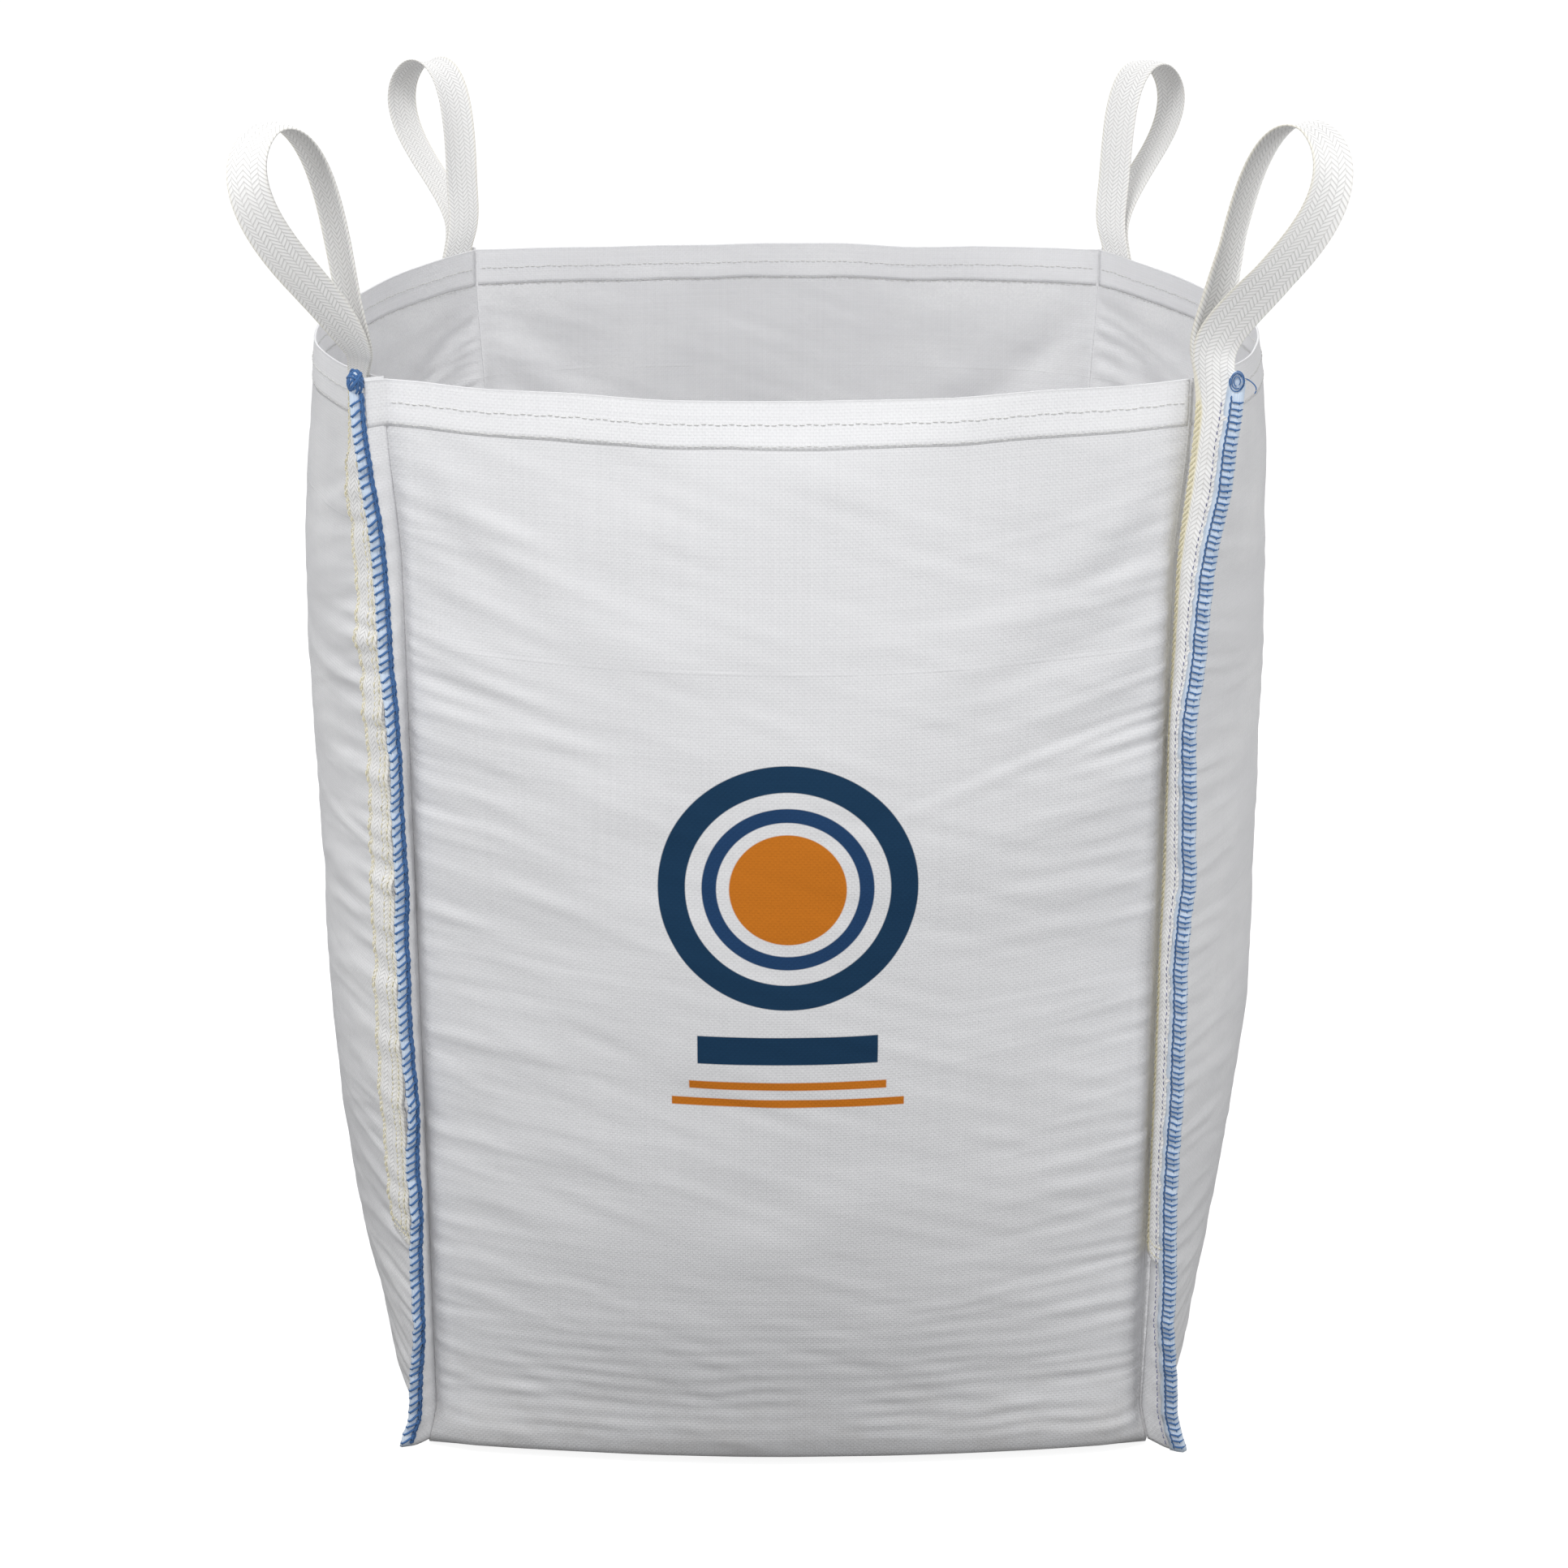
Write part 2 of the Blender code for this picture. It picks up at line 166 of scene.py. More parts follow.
def smooth_surface(panel, t, z):
    """The bag's outer surface without wrinkles; t runs from -1 to 1 along +X or +Y."""
    kind, sign = PANELS[panel]
    low_y = CORNER_Y - fold_inset(z)
    sag = RIM_SAG if panel != "rear" else 0.002
    height = z - sag * (1 - t * t) * (z / RIM) ** 2
    if kind == "face":
        out = low_y + bulge(FACE_BULGE, z) * (1 - t * t)
        return np.stack([corner_x(sign, z) * t, sign * out, height], -1)
    half = (corner_x(-1, z) * (1 - t) + corner_x(1, z) * (1 + t)) / 2
    out = half + bulge(SIDE_BULGE, z) * (1 - t * t)
    return np.stack([sign * out, low_y * t, height], -1)


def grid_normals(points, sign):
    """Unit normals of a grid of points, turned out of the bag by the sign."""
    along = np.gradient(points, axis=1)
    up = np.gradient(points, axis=0)
    return unit(np.cross(along, up)) * sign


def seam_wrinkles(panel, across, z, reach, seed):
    """Creases that leave one seam: across is the distance from that seam."""
    rng = np.random.default_rng(seed)
    field = np.zeros_like(across)
    count = 84
    for i in range(count):
        start = 0.03 + (RIM - HEM_DEPTH - 0.05) * (i + rng.uniform(0.1, 0.9)) / count
        strong = 1.0 + 0.9 * math.exp(-((start - 0.95) / 0.16) ** 2)
        length = reach * rng.uniform(0.25, 0.75) * (1.5 if rng.random() < 0.18 else 1.0)
        width = rng.uniform(0.0045, 0.0095) * (1.4 if rng.random() < 0.2 else 1.0)
        height = rng.uniform(0.0010, 0.0030) * strong
        slope = 0.05 + 0.20 * smooth(0.55, 1.20, start) + rng.normal(0, 0.045)
        bend = rng.normal(0, 0.25)
        along = across / length
        line = start - slope * across - bend * across ** 2
        off = (z - line) / (width * (1 + 0.9 * along))
        shape = np.exp(-off ** 2) - 0.55 * np.exp(-((off - 1.5) / 1.1) ** 2)
        fade = smooth(0.0, 0.012, across) * np.clip(1 - along, 0, 1) ** 1.4
        field += height * shape * fade
    for i in range(70):
        start = rng.uniform(0.04, RIM - 0.16)
        length = reach * rng.uniform(0.3, 0.95)
        width = rng.uniform(0.0022, 0.0042)
        height = rng.uniform(0.0003, 0.0009)
        slope = rng.normal(0.09 + 0.12 * smooth(0.6, 1.1, start), 0.045)
        bend = rng.normal(0, 0.25)
        begin = rng.uniform(0.0, 0.10)
        along = (across - begin) / length
        off = (z - start + slope * across + bend * across ** 2) / width
        fade = smooth(0.0, 0.12, along) * np.clip(1 - along, 0, 1) ** 1.2
        field += height * np.exp(-off ** 2) * np.where(off > 0, 1.0, 0.75) * fade
    return field


def long_folds(panel, across, z, seed):
    """Two or three broad soft folds that run from the top corner towards the middle."""
    rng = np.random.default_rng(seed)
    field = np.zeros_like(across)
    for drop, slope, width, height in ((0.07, 0.9, 0.030, 0.0062), (0.16, 0.62, 0.026, 0.0054), (0.27, 0.45, 0.022, 0.0042)):
        start = RIM - drop + rng.uniform(-0.015, 0.015)
        line = start - slope * across + rng.uniform(0.3, 0.7) * across ** 2
        off = (z - line) / (width * (1 + across * 2.0))
        reach = rng.uniform(0.28, 0.40)
        fade = smooth(0.01, 0.08, across) * np.clip(1 - across / reach, 0, 1)
        field += height * (np.exp(-off ** 2) - 0.6 * np.exp(-((off + 1.6) / 1.2) ** 2)) * fade
    return field


def displacement(panel, t, z, half):
    """How far the cloth stands off the smooth surface, along its normal."""
    seed = SEED + 100 * list(PANELS).index(panel)
    calm = {"front": 0.48, "rear": 0.62}.get(panel, 0.25)
    left = (1 + t) * half
    right = (1 - t) * half
    field = seam_wrinkles(panel, left, z, 0.42, seed + 1)
    field += seam_wrinkles(panel, right, z, 0.42, seed + 2)
    field *= {"front": 0.66, "rear": 0.85}.get(panel, 1.40) * (1 - calm * smooth(0.90, 1.15, z))
    depth = 1.7 if panel == "rear" else 1.0 - 0.6 * calm
    field += depth * (long_folds(panel, left, z, seed + 3) + long_folds(panel, right, z, seed + 4))
    edge = np.minimum(left, right)
    free = smooth(0.0, 0.05, edge)
    field += free * 0.0042 * lattice_noise(seed + 5, t * half, z, 0.26, 0.20)
    field += free * 0.0016 * lattice_noise(seed + 6, t * half + 0.3 * z, z, 0.11, 0.06)
    field += free * 0.0006 * lattice_noise(seed + 7, t * half, z + 0.15 * t, 0.09, 0.016)
    low = np.exp(-(z / 0.20) ** 2) * smooth(0.02, 0.06, z)
    ripple = np.sin(2 * math.pi * (z + 0.006 * lattice_noise(seed + 8, t * half, z, 0.08, 0.05)) / 0.019)
    field += free * low * 0.0009 * ripple * (0.5 + 0.5 * lattice_noise(seed + 9, t * half, z, 0.07, 0.05))
    rim = np.exp(-((RIM - z) / 0.05) ** 2)
    field = field * (1 - 0.75 * rim)
    field += free * rim * 0.0040 * lattice_noise(seed + 10, t * half, 0 * z, 0.13, 1.0)
    field += smooth(0.0, 0.006, edge) * np.exp(-edge / 0.016) * 0.0007 * np.sin(2 * math.pi * z / STITCH_PITCH)
    floor = smooth(0.0, 0.05, z)
    slump, ease = (0.008, 0.06) if PANELS[panel][0] == "face" else (0.007, 0.14)
    return field * floor + slump * smooth(0.0, ease, edge) * smooth(0.0, 0.02, z) * np.exp(-((z - 0.035) / 0.045) ** 2)


class Sheet:
    """A panel's outer surface as a grid that other pieces can lie on."""

    def __init__(self, panel, columns, rows):
        self.panel = panel
        kind, sign = PANELS[panel]
        self.half = CORNER_X if kind == "face" else CORNER_Y
        s = np.linspace(-1, 1, columns)
        self.t = np.sign(s) * (1 - (1 - np.abs(s)) ** 1.35)
        fold = FOLD_RADIUS * (1 - np.cos(np.radians(np.linspace(6, 84, 9))))
        self.z = np.concatenate([fold, np.linspace(FOLD_RADIUS, RIM, rows)])
        t, z = np.meshgrid(self.t, self.z)
        points = smooth_surface(panel, t, z)
        facing = 1 if (sign < 0) == (kind == "face") else -1
        normals = grid_normals(points, facing)
        points = points + normals * displacement(panel, t, z, self.half)[..., None]
        for end, column in ((-1, 0), (1, -1)):
            target = corner_point(self.corner_at(end), self.z)
            shift = (target - points[:, column])[:, None, :]
            away = (1 - end * t) * self.half
            points = points + shift * np.exp(-(away / SEAM_DIP_WIDTH) ** 1.7)[..., None]
        wave = lattice_noise(SEED + 40 + list(PANELS).index(panel), t * self.half, 0 * z, 0.10, 1.0)
        points[..., 2] += 0.0025 * wave * smooth(0.85 * RIM, RIM, z) * smooth(0, 0.12, 1 - np.abs(t))
        points[..., 2] = np.maximum(points[..., 2], 0.0006)
        self.points = points
        self.normals = grid_normals(points, facing)
        self.facing = facing

    def corner_at(self, end):
        kind, sign = PANELS[self.panel]
        wanted = (end, sign) if kind == "face" else (sign, end)
        return [name for name, signs in CORNERS.items() if signs == wanted][0]

    def at(self, t, z, offset=0.0):
        """Points on the sheet at (t, z), lifted off it by the offset."""
        t, z = np.broadcast_arrays(np.asarray(t, float), np.asarray(z, float))
        column = np.interp(t, self.t, np.arange(len(self.t)))
        row = np.interp(z, self.z, np.arange(len(self.z)))
        c, r = np.minimum(column.astype(int), len(self.t) - 2), np.minimum(row.astype(int), len(self.z) - 2)
        fc, fr = (column - c)[..., None], (row - r)[..., None]

        def mix(grid):
            low = grid[r, c] * (1 - fc) + grid[r, c + 1] * fc
            high = grid[r + 1, c] * (1 - fc) + grid[r + 1, c + 1] * fc
            return low * (1 - fr) + high * fr

        normal = unit(mix(self.normals))
        offset = np.asarray(offset, float)
        return mix(self.points) + normal * (offset[..., None] if offset.ndim else offset)

    def cloth_coordinates(self, t, z):
        return np.stack([np.asarray(t) * self.half, np.asarray(z)], -1)


# ---------------------------------------------------------------- meshes
def new_object(name, vertices, faces, material, uv=None, smooth_shade=True):
    mesh = bpy.data.meshes.new(name)
    mesh.from_pydata(np.asarray(vertices).reshape(-1, 3).tolist(), [], faces)
    if uv is not None:
        layer = mesh.uv_layers.new(name="cloth")
        loops = np.empty(len(mesh.loops), int)
        mesh.loops.foreach_get("vertex_index", loops)
        layer.data.foreach_set("uv", np.asarray(uv).reshape(-1, 2)[loops].astype(np.float32).ravel())
    materials = material if isinstance(material, (list, tuple)) else [material]
    for one in materials:
        mesh.materials.append(one)
    if smooth_shade:
        mesh.shade_smooth()
    obj = bpy.data.objects.new(name, mesh)
    bpy.context.scene.collection.objects.link(obj)
    return obj


def grid_faces(rows, columns, close_columns=False, flip=False):
    faces = []
    last = columns if close_columns else columns - 1
    for r in range(rows - 1):
        for c in range(last):
            d = (c + 1) % columns
            quad = (r * columns + c, r * columns + d, (r + 1) * columns + d, (r + 1) * columns + c)
            faces.append(quad[::-1] if flip else quad)
    return faces


def closed_sheet(name, outer, inner, material, uv, flip=False):
    """A thin closed solid between two grids of points."""
    rows, columns = outer.shape[:2]
    count = rows * columns
    faces = grid_faces(rows, columns, flip=flip)
    faces += [tuple(i + count for i in face[::-1]) for face in faces]
    border = [c for c in range(columns)]
    border += [r * columns + columns - 1 for r in range(1, rows)]
    border += [(rows - 1) * columns + c for c in range(columns - 2, -1, -1)]
    border += [r * columns for r in range(rows - 2, 0, -1)]
    for i, a in enumerate(border):
        b = border[(i + 1) % len(border)]
        quad = (b, a, a + count, b + count)
        faces.append(quad[::-1] if flip else quad)
    vertices = np.concatenate([outer.reshape(-1, 3), inner.reshape(-1, 3)])
    return new_object(name, vertices, faces, material, np.concatenate([uv.reshape(-1, 2)] * 2))


class Threads:
    """Many short tubes gathered into one mesh."""

    def __init__(self):
        self.vertices, self.faces, self.uv = [], [], []
        self.count = 0

    def tube(self, path, radius, sides=6, flatten=1.0, normal=None):
        path = np.asarray(path, float)
        n = len(path)
        tangent = unit(np.gradient(path, axis=0))
        guide = np.array([0.13, 0.21, 0.97]) if normal is None else np.asarray(normal, float)
        side = np.cross(tangent, guide)
        weak = np.linalg.norm(side, axis=1) < 0.2
        side[weak] = np.cross(tangent[weak], np.array([0.9, -0.3, 0.2]))
        side = unit(side)
        lift = unit(np.cross(side, tangent))
        radii = np.broadcast_to(np.asarray(radius, float), (n,)).copy()
        radii[0] *= 0.35
        radii[-1] *= 0.35
        angle = 2 * math.pi * np.arange(sides) / sides
        ring = (side[:, None] * np.cos(angle)[None, :, None] + lift[:, None] * (flatten * np.sin(angle))[None, :, None])
        points = path[:, None] + ring * radii[:, None, None]
        base = self.count
        self.vertices.append(points.reshape(-1, 3))
        length = np.concatenate([[0], np.cumsum(np.linalg.norm(np.diff(path, axis=0), axis=1))])
        uv = np.stack(np.broadcast_arrays(length[:, None], (angle / 6.2832)[None, :]), -1)
        self.uv.append(uv.reshape(-1, 2))
        for r in range(n - 1):
            for c in range(sides):
                d = (c + 1) % sides
                a = base + r * sides
                self.faces.append((a + c, a + d, a + sides + d, a + sides + c))
        self.faces.append(tuple(base + c for c in range(sides))[::-1])
        self.faces.append(tuple(base + (n - 1) * sides + c for c in range(sides)))
        self.count += n * sides

    def build(self, name, material):
        return new_object(name, np.concatenate(self.vertices), self.faces, material, np.concatenate(self.uv))


# ---------------------------------------------------------------- materials
class Nodes:
    """A short way to wire a Principled material from nodes."""

    def __init__(self, name):
        self.material = bpy.data.materials.new(name)
        self.material.use_nodes = True
        self.tree = self.material.node_tree
        self.shader = self.tree.nodes["Principled BSDF"]

    def add(self, kind, inputs=(), **settings):
        node = self.tree.nodes.new(kind)
        for key, value in settings.items():
            setattr(node, key, value)
        for key, value in dict(inputs).items():
            self.put(value, node.inputs[key])
        return node

    def put(self, value, socket):
        if isinstance(value, bpy.types.NodeSocket):
            self.tree.links.new(value, socket)
        elif isinstance(value, bpy.types.Node):
            self.tree.links.new(value.outputs[0], socket)
        else:
            socket.default_value = value

    def math(self, operation, a, b=0.0, c=0.0):
        node = self.add("ShaderNodeMath", operation=operation)
        for socket, value in zip(node.inputs, (a, b, c)):
            self.put(value, socket)
        return node.outputs[0]

    def mix(self, factor, a, b):
        node = self.add("ShaderNodeMix", data_type="RGBA")
        self.put(factor, node.inputs[0])
        self.put(a, node.inputs[6])
        self.put(b, node.inputs[7])
        return node.outputs[2]

    def uv(self):
        node = self.add("ShaderNodeUVMap", uv_map="cloth")
        parts = self.add("ShaderNodeSeparateXYZ", {"Vector": node.outputs[0]})
        return node.outputs[0], parts.outputs[0], parts.outputs[1]

    def noise(self, vector, scale, detail=2.0, roughness=0.5):
        node = self.add("ShaderNodeTexNoise", {"Vector": vector, "Scale": scale, "Detail": detail, "Roughness": roughness})
        return node.outputs[0]

    def ramp(self, value, low, high):
        node = self.add("ShaderNodeMapRange", {"Value": value, "From Min": low, "From Max": high}, clamp=True)
        return node.outputs[0]

    def bump(self, height, strength, distance, normal=None):
        node = self.add("ShaderNodeBump", {"Height": height, "Strength": strength, "Distance": distance})
        if normal is not None:
            self.put(normal, node.inputs["Normal"])
        return node.outputs[0]

    def finish(self, colour, roughness, normal=None, specular=0.4, sheen=0.0):
        self.put(colour, self.shader.inputs["Base Color"])
        self.put(roughness, self.shader.inputs["Roughness"])
        self.shader.inputs["Specular IOR Level"].default_value = specular
        self.shader.inputs["Sheen Weight"].default_value = sheen
        if normal is not None:
            self.put(normal, self.shader.inputs["Normal"])
        return self.material


def stretched(nodes, vector, x, y):
    """The vector scaled by x and y, for streaks."""
    node = nodes.add("ShaderNodeMapping", {"Vector": vector, "Scale": (x, y, 1.0)})
    return node.outputs[0]


def weave_height(nodes, u, v, pitch):
    """Plain weave of flat tapes: the two directions take turns on top."""
    a = nodes.math("DIVIDE", u, pitch)
    b = nodes.math("DIVIDE", v, pitch)
    over_a = nodes.math("ABSOLUTE", nodes.math("SINE", nodes.math("MULTIPLY", a, math.pi)))
    over_b = nodes.math("ABSOLUTE", nodes.math("SINE", nodes.math("MULTIPLY", b, math.pi)))
    cell = nodes.math("ADD", nodes.math("FLOOR", a), nodes.math("FLOOR", b))
    which = nodes.math("ABSOLUTE", nodes.math("SUBTRACT", nodes.math("MODULO", cell, 2.0), 0.0))
    other = nodes.math("SUBTRACT", 1.0, which)
    tape_a = nodes.math("MULTIPLY", nodes.math("POWER", over_a, 0.35), which)
    tape_b = nodes.math("MULTIPLY", nodes.math("POWER", over_b, 0.35), other)
    return nodes.math("ADD", tape_a, tape_b)


def rectangle_mask(nodes, u, v, centre, size, blur=0.0006):
    du = nodes.math("ABSOLUTE", nodes.math("SUBTRACT", u, centre[0]))
    dv = nodes.math("ABSOLUTE", nodes.math("SUBTRACT", v, centre[1]))
    in_u = nodes.ramp(du, size[0] / 2 + blur, size[0] / 2 - blur)
    in_v = nodes.ramp(dv, size[1] / 2 + blur, size[1] / 2 - blur)
    return nodes.math("MULTIPLY", in_u, in_v)


def ring_mask(nodes, u, v, centre, inner, outer, blur=0.0006):
    du = nodes.math("SUBTRACT", u, centre[0])
    dv = nodes.math("SUBTRACT", v, centre[1])
    radius = nodes.math("SQRT", nodes.math("ADD", nodes.math("MULTIPLY", du, du), nodes.math("MULTIPLY", dv, dv)))
    mask = nodes.ramp(radius, outer + blur, outer - blur)
    if inner > 0:
        mask = nodes.math("MULTIPLY", mask, nodes.ramp(radius, inner - blur, inner + blur))
    return mask


NAVY = (0.0010, 0.034, 0.088, 1.0)
BLUE = (0.007, 0.046, 0.135, 1.0)
ORANGE = (0.60, 0.178, 0.006, 1.0)
PRINT_CENTRE = (0.0, 0.768)


def print_layers(nodes, u, v, colour):
    """A plain badge: a navy ring round an orange disc, over three plain bars."""
    x, z = PRINT_CENTRE
    layers = [
        (ring_mask(nodes, u, v, (x, z), 0.112, 0.142), NAVY),
        (ring_mask(nodes, u, v, (x, z), 0.0, 0.064), ORANGE),
        (ring_mask(nodes, u, v, (x, z), 0.078, 0.094), BLUE),
        (rectangle_mask(nodes, u, v, (x, z - 0.192), (0.200, 0.034)), NAVY),
        (rectangle_mask(nodes, u, v, (x, z - 0.236), (0.220, 0.010)), ORANGE),
        (rectangle_mask(nodes, u, v, (x, z - 0.258), (0.260, 0.010)), ORANGE),
    ]
    for mask, ink in layers:
        colour = nodes.mix(nodes.math("MULTIPLY", mask, 0.985), colour, ink)
    return colour


def woven_material(name, tone=0.80, printed=False, creases=(), warm=0.0, dirt=True):
    """White woven polypropylene: flat tapes, tone that differs between tapes, storage creases; painted shade in the
    gaps between the tapes, and pale patches of painted light on the plain cloth.
    """
    nodes = Nodes(name)
    vector, u, v = nodes.uv()
    weave = weave_height(nodes, u, v, 0.0030)
    warp = nodes.noise(stretched(nodes, vector, 330.0, 3.0), 1.0, 1.0)
    weft = nodes.noise(stretched(nodes, vector, 3.0, 330.0), 1.0, 1.0)
    cloud = nodes.noise(vector, 5.0, 4.0, 0.6)
    light = (tone * 1.02, tone * 1.02, tone * (1.035 - warm), 1.0)
    dark = (tone * 0.965, tone * 0.965, tone * (0.98 - warm), 1.0)
    streak = nodes.math("ADD", nodes.math("MULTIPLY", warp, 0.5), nodes.math("MULTIPLY", weft, 0.5))
    colour = nodes.mix(nodes.ramp(streak, 0.30, 0.70), dark, light)
    colour = nodes.mix(nodes.math("MULTIPLY", nodes.ramp(cloud, 0.35, 0.75), 0.35), colour, light)
    # Darker in the gaps between the tapes: painted shade, keyed to the weave's height.
    weave_gap_shade = nodes.mix(0.22, colour, (tone * 0.6, tone * 0.6, tone * 0.62, 1.0))
    colour = nodes.mix(nodes.ramp(weave, 0.0, 0.75), weave_gap_shade, colour)
    if dirt:
        low = nodes.ramp(v, 0.16, 0.0)
        smudge = nodes.math("MULTIPLY", low, nodes.ramp(nodes.noise(vector, 14.0, 5.0, 0.65), 0.42, 0.75))
        colour = nodes.mix(nodes.math("MULTIPLY", smudge, 0.36), colour, (0.50, 0.46, 0.41, 1.0))
    if printed:
        colour = print_layers(nodes, u, v, colour)
    else:
        # Pale patches on the unprinted cloth are painted light: they stand in for light showing through the thin cloth.
        painted_light_patch = nodes.ramp(nodes.noise(stretched(nodes, vector, 3.2, 4.5), 1.0, 5.0, 0.62), 0.46, 0.66)
        grain = nodes.ramp(nodes.noise(vector, 260.0, 2.0, 0.8), 0.40, 0.70)
        colour = nodes.mix(nodes.math("MULTIPLY", painted_light_patch, nodes.math("ADD", nodes.math("MULTIPLY", grain, 0.5), 0.3)),
                           colour, (0.93, 0.93, 0.93, 1.0))
    height = nodes.math("MULTIPLY", weave, 0.9)
    for axis, place in creases:
        coordinate = u if axis == "u" else v
        wander = nodes.math("MULTIPLY", nodes.math("SUBTRACT", nodes.noise(vector, 3.0), 0.5), 0.006)
        away = nodes.math("ABSOLUTE", nodes.math("ADD", nodes.math("SUBTRACT", coordinate, place), wander))
        line = nodes.math("MULTIPLY", nodes.ramp(away, 0.0022, 0.0), 0.9)
        broken = nodes.ramp(nodes.noise(vector, 9.0), 0.35, 0.62)
        height = nodes.math("ADD", height, nodes.math("MULTIPLY", line, broken))
    crumple = nodes.noise(stretched(nodes, vector, 40.0, 120.0), 1.0, 4.0, 0.6)
    height = nodes.math("ADD", height, nodes.math("MULTIPLY", crumple, 0.9))
    normal = nodes.bump(height, 0.55, 0.0006)
    roughness = nodes.math("ADD", nodes.math("MULTIPLY", cloud, 0.16), 0.42)
    return nodes.finish(colour, roughness, normal, specular=0.06 if printed else 0.20)


def webbing_material():
    """Off-white lifting webbing: herringbone weave with cream selvedges, and painted shade in the weave's grooves."""
    nodes = Nodes("webbing")
    vector, u, v = nodes.uv()
    band = nodes.math("FLOOR", nodes.math("DIVIDE", u, WEB_BAND))
    side = nodes.math("SUBTRACT", nodes.math("MULTIPLY", nodes.math("MODULO", band, 2.0), 2.0), 1.0)
    slant = nodes.math("ADD", v, nodes.math("MULTIPLY", nodes.math("MULTIPLY", u, side), 0.9))
    rib = nodes.math("ABSOLUTE", nodes.math("SINE", nodes.math("MULTIPLY", slant, math.pi / WEB_RIB)))
    groove = nodes.math("FRACT", nodes.math("DIVIDE", u, WEB_BAND))
    groove = nodes.ramp(nodes.math("ABSOLUTE", nodes.math("SUBTRACT", groove, 0.5)), 0.5, 0.36)
    height = nodes.math("MULTIPLY", nodes.math("POWER", rib, 0.6), nodes.math("ADD", nodes.math("MULTIPLY", groove, 0.4), 0.6))
    fray = nodes.noise(vector, 420.0, 3.0, 0.7)
    place = nodes.math("SUBTRACT", u, WEB_WIDTH / 2)
    faint = nodes.math("MULTIPLY", nodes.ramp(place, 0.001, -0.001), 0.70)
    edge = nodes.math("ABSOLUTE", place)
    on_leg = nodes.ramp(v, RIM - LEG_BOTTOM + 0.03, RIM - LEG_BOTTOM - 0.03)
    edge = nodes.math("ADD", edge, nodes.math("MULTIPLY", on_leg, 0.0085))
    selvedge = nodes.ramp(edge, WEB_WIDTH / 2 - 0.0040, WEB_WIDTH / 2 - 0.0008)
    # Darker where the weave is low: painted shade in the grooves of the herringbone.
    tone = nodes.mix(nodes.ramp(height, 0.15, 0.85), (0.56, 0.555, 0.545, 1), (0.95, 0.945, 0.935, 1))
    tone = nodes.mix(nodes.math("MULTIPLY", nodes.ramp(nodes.noise(vector, 16.0, 3.0), 0.35, 0.8), 0.4), tone, (0.84, 0.83, 0.81, 1))
    cream = nodes.mix(fray, (0.82, 0.74, 0.50, 1), (0.90, 0.86, 0.70, 1))
    strength = nodes.math("ADD", nodes.math("MULTIPLY", on_leg, 0.5), 0.35)
    selvedge = nodes.math("MULTIPLY", selvedge, nodes.math("MULTIPLY", strength, nodes.math("SUBTRACT", 1.0, faint)))
    colour = nodes.mix(selvedge, tone, cream)
    relief = nodes.math("ADD", height, nodes.math("MULTIPLY", fray, 0.35))
    normal = nodes.bump(relief, 0.40, 0.0006)
    return nodes.finish(colour, 0.78, normal, specular=0.25, sheen=0.12)


def thread_material(name, dark, light, twist=0.0016):
    """Spun sewing thread: a dark and a light tone wound round it, the dark one painted shade in the grooves of the
    twist.
    """
    nodes = Nodes(name)
    vector, u, v = nodes.uv()
    turn = nodes.math("ADD", nodes.math("DIVIDE", u, twist), v)
    ply = nodes.math("ABSOLUTE", nodes.math("SINE", nodes.math("MULTIPLY", turn, math.pi)))
    fuzz = nodes.noise(vector, 900.0, 2.0)
    # Darker in the grooves of the twist: painted shade; the fuzz noise adds random tone.
    blend = nodes.math("MULTIPLY", nodes.math("ADD", ply, fuzz), 0.5)
    colour = nodes.mix(blend, dark, light)
    return nodes.finish(colour, 0.72, nodes.bump(ply, 0.6, 0.0003), specular=0.25, sheen=0.2)


def filler_material():
    """Pale blue filler yarn that fluffs out between the overedge stitches."""
    nodes = Nodes("filler_yarn")
    vector, u, v = nodes.uv()
    strands = nodes.noise(stretched(nodes, vector, 900.0, 60.0), 1.0, 3.0, 0.6)
    patches = nodes.noise(vector, 45.0, 3.0)
    colour = nodes.mix(nodes.ramp(strands, 0.3, 0.7), (0.46, 0.60, 0.80, 1), (0.74, 0.83, 0.93, 1))
    colour = nodes.mix(nodes.math("MULTIPLY", patches, 0.4), colour, (0.80, 0.86, 0.93, 1))
    return nodes.finish(colour, 0.85, nodes.bump(strands, 0.7, 0.0006), specular=0.2, sheen=0.3)


# ---------------------------------------------------------------- pieces
def make_panel(sheet, material):
    """One woven panel, a thin closed sheet."""
    t, z = np.meshgrid(sheet.t, sheet.z)
    outer = sheet.points
    inner = outer - sheet.normals * CLOTH
    inner[..., 2] = np.maximum(inner[..., 2], 0.0002)
    uv = sheet.cloth_coordinates(t, z)
    piece = closed_sheet(sheet.panel + "_cloth", outer, inner, material, uv, flip=sheet.facing < 0)
    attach(piece, "bag")
    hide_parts(sheet.panel + "_panel")
    return piece


